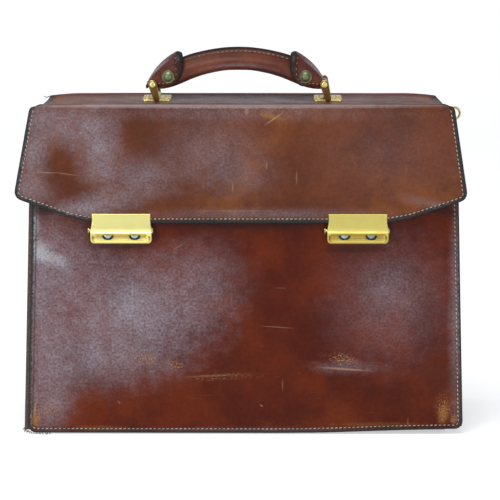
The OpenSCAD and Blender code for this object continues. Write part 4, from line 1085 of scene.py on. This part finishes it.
dial_face = metal_material("dial_face", (0.66, 0.72, 0.72), (0.05, 0.08, 0.08), 0.95, 0.12)
dial_rim, tree, surface = bare_material("dial_rim")
place = add(tree, "ShaderNodeTexCoord").outputs["Object"]
rubbed = ease(tree, cloud(tree, place, 700, 4, 0.7), 0.5, 0.68)
shade = tint(tree, rubbed, (0.012, 0.022, 0.018, 1), (0.10, 0.12, 0.10, 1))
shader = add(tree, "ShaderNodeBsdfPrincipled", {"Base Color": shade, "Metallic": 0.55, "Roughness": 0.34})
tree.links.new(shader.outputs[0], surface)
cap = [(0, 3.1), (1.1, 3.05), (2.0, 2.75), (2.7, 2.2), (3.1, 1.5), (3.1, 0.5), (2.9, 0.1)]
half_stations = [k * 0.9 for k in range(24)] + [
    21.4, 22, 22.5, 23, 23.4, 23.8, 24.2, 24.5, 24.8, 25, 25.2, 25.8, 26.4, 26.7, 26.95, 27.15, 27.3, 27.42, 27.5]
stations = sorted({round(s * x, 3) for s in (-1, 1) for x in half_stations})
dial_profile = [(0, 1.75), (0.5, 1.68), (1.1, 1.35), (1.5, 1.05), (3.5, 0.95), (4.0, 0.8), (4.2, 0.85), (4.4, 1.25),
                (5.1, 1.3), (5.5, 1.1), (5.6, 0.8), (5.6, 0.2), (5.4, 0), (1.2, 0), (1.2, -2.2), (0, -2.2)]
for side, word in ((-1, "left"), (1, "right")):
    bm = bmesh.new()
    loft(bm, stations, lock_station, lock_place(side))
    shell = finish_piece(bm, "lock_plate_" + word, lock_brass[side > 0], 55)
    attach(shell, "flap")
    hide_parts("hasp_" + word)
    for number, x in (("1", -dial_x), ("2", dial_x)):
        bm = bmesh.new()
        turned(bm, dial_profile,
               lock_place(side) @ Matrix.Translation(Vector((x, dial_v, floor_w + 0.2)) * mm), 48, 0.018)
        middle = lock_place(side) @ (Vector((x, dial_v, floor_w)) * mm)
        dial = finish_piece(bm, "dial_" + word + "_" + number + "_turned", (dial_face, dial_rim), 35)
        for f in dial.data.polygons:
            f.material_index = int((f.center - middle).length > 3.7 * mm)
        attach(dial, "dial_" + word + "_" + number)
        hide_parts("dial_" + word + "_" + number)
    bm = bmesh.new()
    low_end, high_end = -lock_half - 2.7, lock_half + 0.3
    bar_place = lock_place(side) @ Matrix.Translation(Vector((0, bar_v, bar_w)) * mm)
    turned(bm, [(r, low_end - h * 0.5) for r, h in cap] + [(1.4, low_end), (1.4, high_end)]
           + [(r, high_end + h * 0.8) for r, h in reversed(cap)], bar_place @ Matrix.Rotation(math.pi / 2, 4, "Y"), 28)
    tongue = bmesh.ops.create_cube(bm, size=1)["verts"]
    bmesh.ops.scale(bm, vec=Vector((4.0, 8, 1)) * mm, verts=tongue)
    bmesh.ops.translate(bm, vec=Vector((-7.1, -11.2, bar_w)) * mm, verts=tongue)
    bmesh.ops.transform(bm, matrix=lock_place(side), verts=tongue)
    bar = finish_piece(bm, "release_" + word + "_bar", brass, 40)
    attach(bar, "release_bar_" + word)
    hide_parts("release_bar_" + word)

# Handle plates and stirrups: a brass plate with a rolled barrel is riveted through the top on each side. The
# stirrup's rod runs in the barrel, and its two flat legs taper up to a riveted pin through the end of the handle.
pin_x, handle_y, link_l, link_lean = 80, -5, 13.6, math.radians(15)
# A darker brass for the stirrup legs' front faces: painted shade
amber_brass = metal_material("amber_brass", (0.19, 0.095, 0.03), (0.10, 0.045, 0.014), 0.7, 0.36)
knuckle_z, plate_w, plate_d, plate_t = 316.0, 26, 28, 1.6
leg_y, leg_t = plate_d / 2 + 0.3, 3


def round_edges(bm, edges, reach, segments=3):
    bmesh.ops.bevel(bm, geom=edges, offset=reach * mm, segments=segments, profile=0.5, affect="EDGES", material=-1)


for side, word in ((-1, "left"), (1, "right")):
    bm = bmesh.new()
    bmesh.ops.create_grid(bm, x_segments=1, y_segments=1, size=0.5)
    bmesh.ops.scale(bm, vec=Vector((plate_w, plate_d, 1)) * mm, verts=bm.verts)
    bmesh.ops.bevel(bm, geom=bm.verts[:], offset=2.2 * mm, segments=4, profile=0.5, affect="VERTICES", material=-1)
    top = bmesh.ops.extrude_face_region(bm, geom=bm.faces[:])["geom"]
    bmesh.ops.translate(bm, vec=(0, 0, plate_t * mm), verts=[g for g in top if isinstance(g, bmesh.types.BMVert)])
    bmesh.ops.recalc_face_normals(bm, faces=bm.faces)
    round_edges(bm, [e for e in bm.edges if all(v.co.z > 0.001 for v in e.verts)], 0.45)
    bmesh.ops.translate(bm, vec=Vector((side * pin_x, handle_y, case_h)) * mm, verts=bm.verts)
    turned(bm, [(2.1, -13.9), (2.7, -13.9), (2.95, -13.6), (2.95, 13.6), (2.7, 13.9), (2.1, 13.9), (2.1, -13.9)],
           Matrix.Translation(Vector((side * pin_x, handle_y, knuckle_z)) * mm) @ Matrix.Rotation(math.pi / 2, 4, "X"),
           24)
    plate = finish_piece(bm, "handle_plate_" + word + "_brass", brass, 40)
    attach(plate, "case")
    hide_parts("handle_plate_" + word)

    bm = bmesh.new()
    stirrup = Matrix.Translation(Vector((side * pin_x, handle_y, knuckle_z)) * mm) @ Matrix.Rotation(-link_lean, 4, "Y")
    for y in (-leg_y - leg_t, leg_y):
        foot = [(3.0 * math.cos(a), 3.0 * math.sin(a)) for a in (math.radians(188 + 164 * k / 12) for k in range(13))]
        head = [(4.1 * math.cos(a), link_l + 4.1 * math.sin(a))
                for a in (math.radians(-8 + 196 * k / 16) for k in range(17))]
        ring = [bm.verts.new(Vector((x, y, z)) * mm) for x, z in foot + head]
        leg = bmesh.ops.contextual_create(bm, geom=ring)["faces"]
        far_side = bmesh.ops.extrude_face_region(bm, geom=leg)["geom"]
        bmesh.ops.translate(bm, vec=(0, leg_t * mm, 0),
                            verts=[g for g in far_side if isinstance(g, bmesh.types.BMVert)])
    bmesh.ops.recalc_face_normals(bm, faces=bm.faces)
    round_edges(bm, [e for e in bm.edges if abs(e.verts[0].co.y - e.verts[1].co.y) < 1e-7], 0.7)
    turned(bm, [(0, -leg_y - 1), (1.95, -leg_y - 1), (1.95, leg_y + 1), (0, leg_y + 1)],
           Matrix.Rotation(math.pi / 2, 4, "X"), 24)
    bmesh.ops.transform(bm, matrix=stirrup, verts=bm.verts)
    leg = finish_piece(bm, "stirrup_" + word, (brass, amber_brass), 40)
    # Faces turned straight to the front take the darker brass, as painted shade
    for f in leg.data.polygons:
        f.material_index = int(f.normal.y < -0.95)
    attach(leg, "bail_" + word)
    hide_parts("bail_" + word)

    bm = bmesh.new()
    out = leg_y + leg_t
    head = [(0, 1.0), (1.2, 0.95), (2.2, 0.75), (2.8, 0.45), (3.0, 0.2), (3.0, 0.05), (1.95, 0)]
    turned(bm, [(r, out + h) for r, h in head] + [(r, -out - h) for r, h in reversed(head)],
           stirrup @ Matrix.Translation((0, 0, link_l * mm)) @ Matrix.Rotation(math.pi / 2, 4, "X"), 28)
    pin = finish_piece(bm, "handle_pin_" + word + "_brass", brass, 60)
    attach(pin, "bail_" + word)
    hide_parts("handle_pin_" + word)

# Handle: a hide wrapped round a steel core and its stuffing, its two edges sewn together into a raised, painted
# fin along the top. A folded leather cap with flared, painted edges is sewn and riveted over each end.
hold = Vector((-link_l * math.sin(link_lean), handle_y, knuckle_z + link_l * math.cos(link_lean)))
grip_long, grip_round = 82, 36
grip_half, grip_narrower = 12.5, 2.9
dark_thread = thread_material("handle_thread", (0.16, 0.10, 0.06), (0.44, 0.32, 0.20))
handle_hide = hide_material("handle_hide", (0.17, 0.048, 0.026), (0.085, 0.024, 0.016), (0.29, 0.085, 0.028), 0.30,
                            0.3, 0.18, 0.5, [
    # Painted shade under the grip, and a painted sheen along its front
    ("dark", 0, 0, 12, 90, 0, 0.8), ("haze", -17, 0, 4, 60, 0, 0.4)], painted=1.5, seam=5.2)


def along(t, stops):
    """A smooth value between stops, each a place and its value."""
    for k in range(len(stops) - 1):
        if t <= stops[k + 1][0] or k == len(stops) - 2:
            (t0, a), (t1, b) = stops[k], stops[k + 1]
            before, after = stops[max(0, k - 1)], stops[min(len(stops) - 1, k + 2)]
            s = min(1, max(0, (t - t0) / (t1 - t0)))
            leave = (b - before[1]) / max(1e-6, t1 - before[0]) * (t1 - t0)
            arrive = (after[1] - a) / max(1e-6, after[0] - t0) * (t1 - t0)
            return ((2 * s ** 3 - 3 * s ** 2 + 1) * a + (s ** 3 - 2 * s ** 2 + s) * leave
                    + (3 * s ** 2 - 2 * s ** 3) * b + (s ** 3 - s ** 2) * arrive)


def grip_face(across, x):
    """The grip's outer face: across runs from the front edge of the fin (-36) under the grip to its back edge (36)."""
    q = 1 - min(grip_round, abs(across)) / grip_round
    reach = abs(x)
    top = along(reach, [(0, 33.2), (13, 32.6), (31, 29.8), (50, 24.6), (62, 18.0), (72, 10.5), (82, 1.0)])
    low = along(reach, [(0, 10.6), (13, 10.1), (31, 6.4), (44, 1.9), (50, -0.8), (60, -4.8), (68, -6.7), (75, -7.0),
                        (82, -6.0)])
    wide = grip_half - grip_narrower * (reach / pin_x) ** 4
    if q < 0.07:
        t = q / 0.07
        y, z = 1.45 + 0.15 * t, top - 2.2 * t
    elif q < 0.16:
        t = (q - 0.07) / 0.09
        y, z = 1.6 + 1.9 * t, top - 2.2 - 2.3 * t
    else:
        turn = math.radians(24 + 156 * (q - 0.16) / 0.84)
        y = wide * math.sin(turn) ** 1.05 if turn < math.pi - 1e-6 else 0
        y = max(y, 3.5 * (1 - (q - 0.16) / 0.1)) if q < 0.26 else y
        z = (top - 4 + low) / 2 + (top - 4 - low) / 2 * (0.9 * math.cos(turn) - 0.1 + 0.1 * math.cos(turn * 2))
    return hold + Vector((x, math.copysign(y, across), z))


def skin(face, flip=1):
    """Lays a sheet on a face: the depth goes in square to it."""
    def laid(x, y, depth):
        aside, ahead = face(x + 0.5, y) - face(x - 0.5, y), face(x, y + 0.5) - face(x, y - 0.5)
        return face(x, y) - ahead.cross(aside).normalized() * depth * flip
    return laid


grip_columns = spread(2 * grip_round, 2.2, (0, 0.4, 1, 1.8, 2.6, 3.24, 4, 5.2, 6.6))
grip = cut_sheet("handle_grip_hide", grip_columns, spread(2 * grip_long, 3.2),
                 lambda a, b: (a - grip_round, b - grip_long), skin(grip_face, -1), 1.4, handle_hide, True, False)
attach(grip, "handle")
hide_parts("handle_grip")
sew("grip_stitches", [[(s * (grip_round - 4.6), x * 4) for x in range(-14, 15)] for s in (-1, 1)],
    skin(grip_face, -1), "handle", 4.3, 2.7, 0.42, dark_thread)

cap_round, cap_long = 30, 36
ridge_x = [(0, 84.9), (0.1, 83.6), (0.22, 81.0), (0.4, 75.8), (0.6, 69.2), (0.8, 62.0), (1, 54.8)]
ridge_z = [(0, -3.2), (0.1, 0.2), (0.22, 4.8), (0.4, 12.6), (0.6, 19.8), (0.8, 25.4), (1, 29.6)]
hem_x = [(0, 84.2), (0.2, 78.8), (0.4, 72.6), (0.6, 66.4), (0.8, 60.0), (1, 53.4)]
hem_z = [(0, -3.6), (0.2, -1.6), (0.4, -1.2), (0.6, -2.0), (0.8, -3.0), (1, -2.8)]
cap_shift = -2.0
stud_x, stud_shift, stud_z = 64, -1.5, 6.9
cap_half = [(0, 11.6), (0.12, 12.6), (0.3, 13.3), (0.6, 13.6), (1, 14.3)]
cap_hide = hide_material("cap_hide", (0.165, 0.046, 0.026), (0.09, 0.025, 0.018), (0.27, 0.078, 0.028), 0.28, 0.3,
                         0.3, 0.6, [
    # Painted sheens along both slopes, and a painted highlight on the front slope
    ("worn", 4, 20, 5, 14, 0, 0.5), ("haze", -4, 18, 5, 20, 0, 0.6), ("haze", 5, 18, 4, 20, 0, 0.5),
    ("shine", -6, 16, 3.2, 15, 0, 0.4), ("line", 7, 14, 1, 9, 10, 0.5)], painted=1.15, seam=3.2)


def cap_face(hand):
    """A cap's outer face: across runs from the ridge (0) down to the hems, up from its outer end to its mouth."""
    def face(across, up):
        g, h = min(1.04, abs(across) / cap_round), min(1, max(0, up / cap_long))
        top, foot, half = along(h, ridge_z), along(h, hem_z), along(h, cap_half)
        middle = foot + (top - foot) * 0.46
        if g < 0.6:
            turn = g / 0.6 * math.pi / 2
            y, z = half * math.sin(turn) ** 0.95, top - (top - middle) * (1 - math.cos(turn)) ** 0.85
        else:
            t = (g - 0.6) / 0.4
            y, z = half * (1 - 0.07 * t * t), middle - (middle - foot) * t
        x = along(h, ridge_x) + (along(h, hem_x) - along(h, ridge_x)) * smooth(g)
        x -= 2.0 * math.sin(math.pi * min(1, g)) * h ** 6
        x -= (up / cap_long - h) * cap_long
        dent = 1.0 * math.exp(-((x - 64) / 9) ** 2 - ((z - 8) / 8) ** 2) * smooth((g - 0.3) / 0.2)
        return hold + Vector((hand * x + cap_shift, math.copysign(y - dent, across), z))
    return face


def cap_outline(a, b):
    side, end = rounded(min(a, 2 * cap_round - a), cap_long - b, 12)
    side, b = rounded(side, cap_long - end, 5)
    return (side - cap_round if a < cap_round else cap_round - side), b


def cap_skin(hand):
    """Lays the cap on its face, with its thickness slanted at the flared mouth."""
    laid = skin(cap_face(hand), -hand)

    def place(x, y, depth):
        slant = depth * 1.7 * smooth((y / cap_long - 0.84) / 0.16) * (1 - 0.75 * abs(x) / cap_round)
        return laid(x, y, depth) - Vector((hand * slant, 0, 0))
    return place


half_seam = [(3.2, b) for b in (5, 8, 12, 16, 20, 24, 27, 29.5, 31.3, 32.8)]
half_seam += [(a, cap_long - 3.2) for a in (4.6, 6.4, 9, 12, 16, 20, 24, 27, 29)]
stud_profile = [(0, 3.2), (1.2, 3.1), (2.4, 2.7), (3.5, 2.05), (4.3, 1.25), (4.7, 0.85), (4.9, 0.85), (5.2, 1.25),
                (5.6, 1.4), (5.95, 1.2), (6.1, 0.75), (6.1, 0.1), (5.6, -0.3), (1.5, -0.3), (1.5, -13)]
for hand, word in ((-1, "left"), (1, "right")):
    cap_columns = spread(2 * cap_round, 1.6, (0, 0.4, 1, 1.9, 3.2))
    capped = cut_sheet("handle_cap_" + word + "_hide", cap_columns, spread(cap_long, 1.6, (0, 0.4, 1, 1.9, 3.2)),
                       cap_outline, cap_skin(hand), 2.2, cap_hide)
    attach(capped, "handle")
    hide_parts("handle_cap_" + word)
    sew("cap_" + word + "_stitches", [line_of(cap_outline, half_seam),
                                      line_of(cap_outline, [(2 * cap_round - a, b) for a, b in half_seam])],
        cap_skin(hand), "handle", 4.0, 2.2, 0.4, dark_thread)
    bm = bmesh.new()
    stud_at = Matrix.Translation((hold + Vector((hand * stud_x + stud_shift, 0, stud_z))) * mm)
    for turn in (1, -1):
        turned(bm, [(r, h + 13.1) for r, h in stud_profile], stud_at @ Matrix.Rotation(turn * math.pi / 2, 4, "X"), 32)
    stud = finish_piece(bm, "handle_stud_" + word + "_domed", old_brass, 50)
    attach(stud, "handle")
    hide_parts("handle_stud_" + word)

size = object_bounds()
{"cad": [list(c) for c in cad_box], "seen": [list(c) for c in size]}
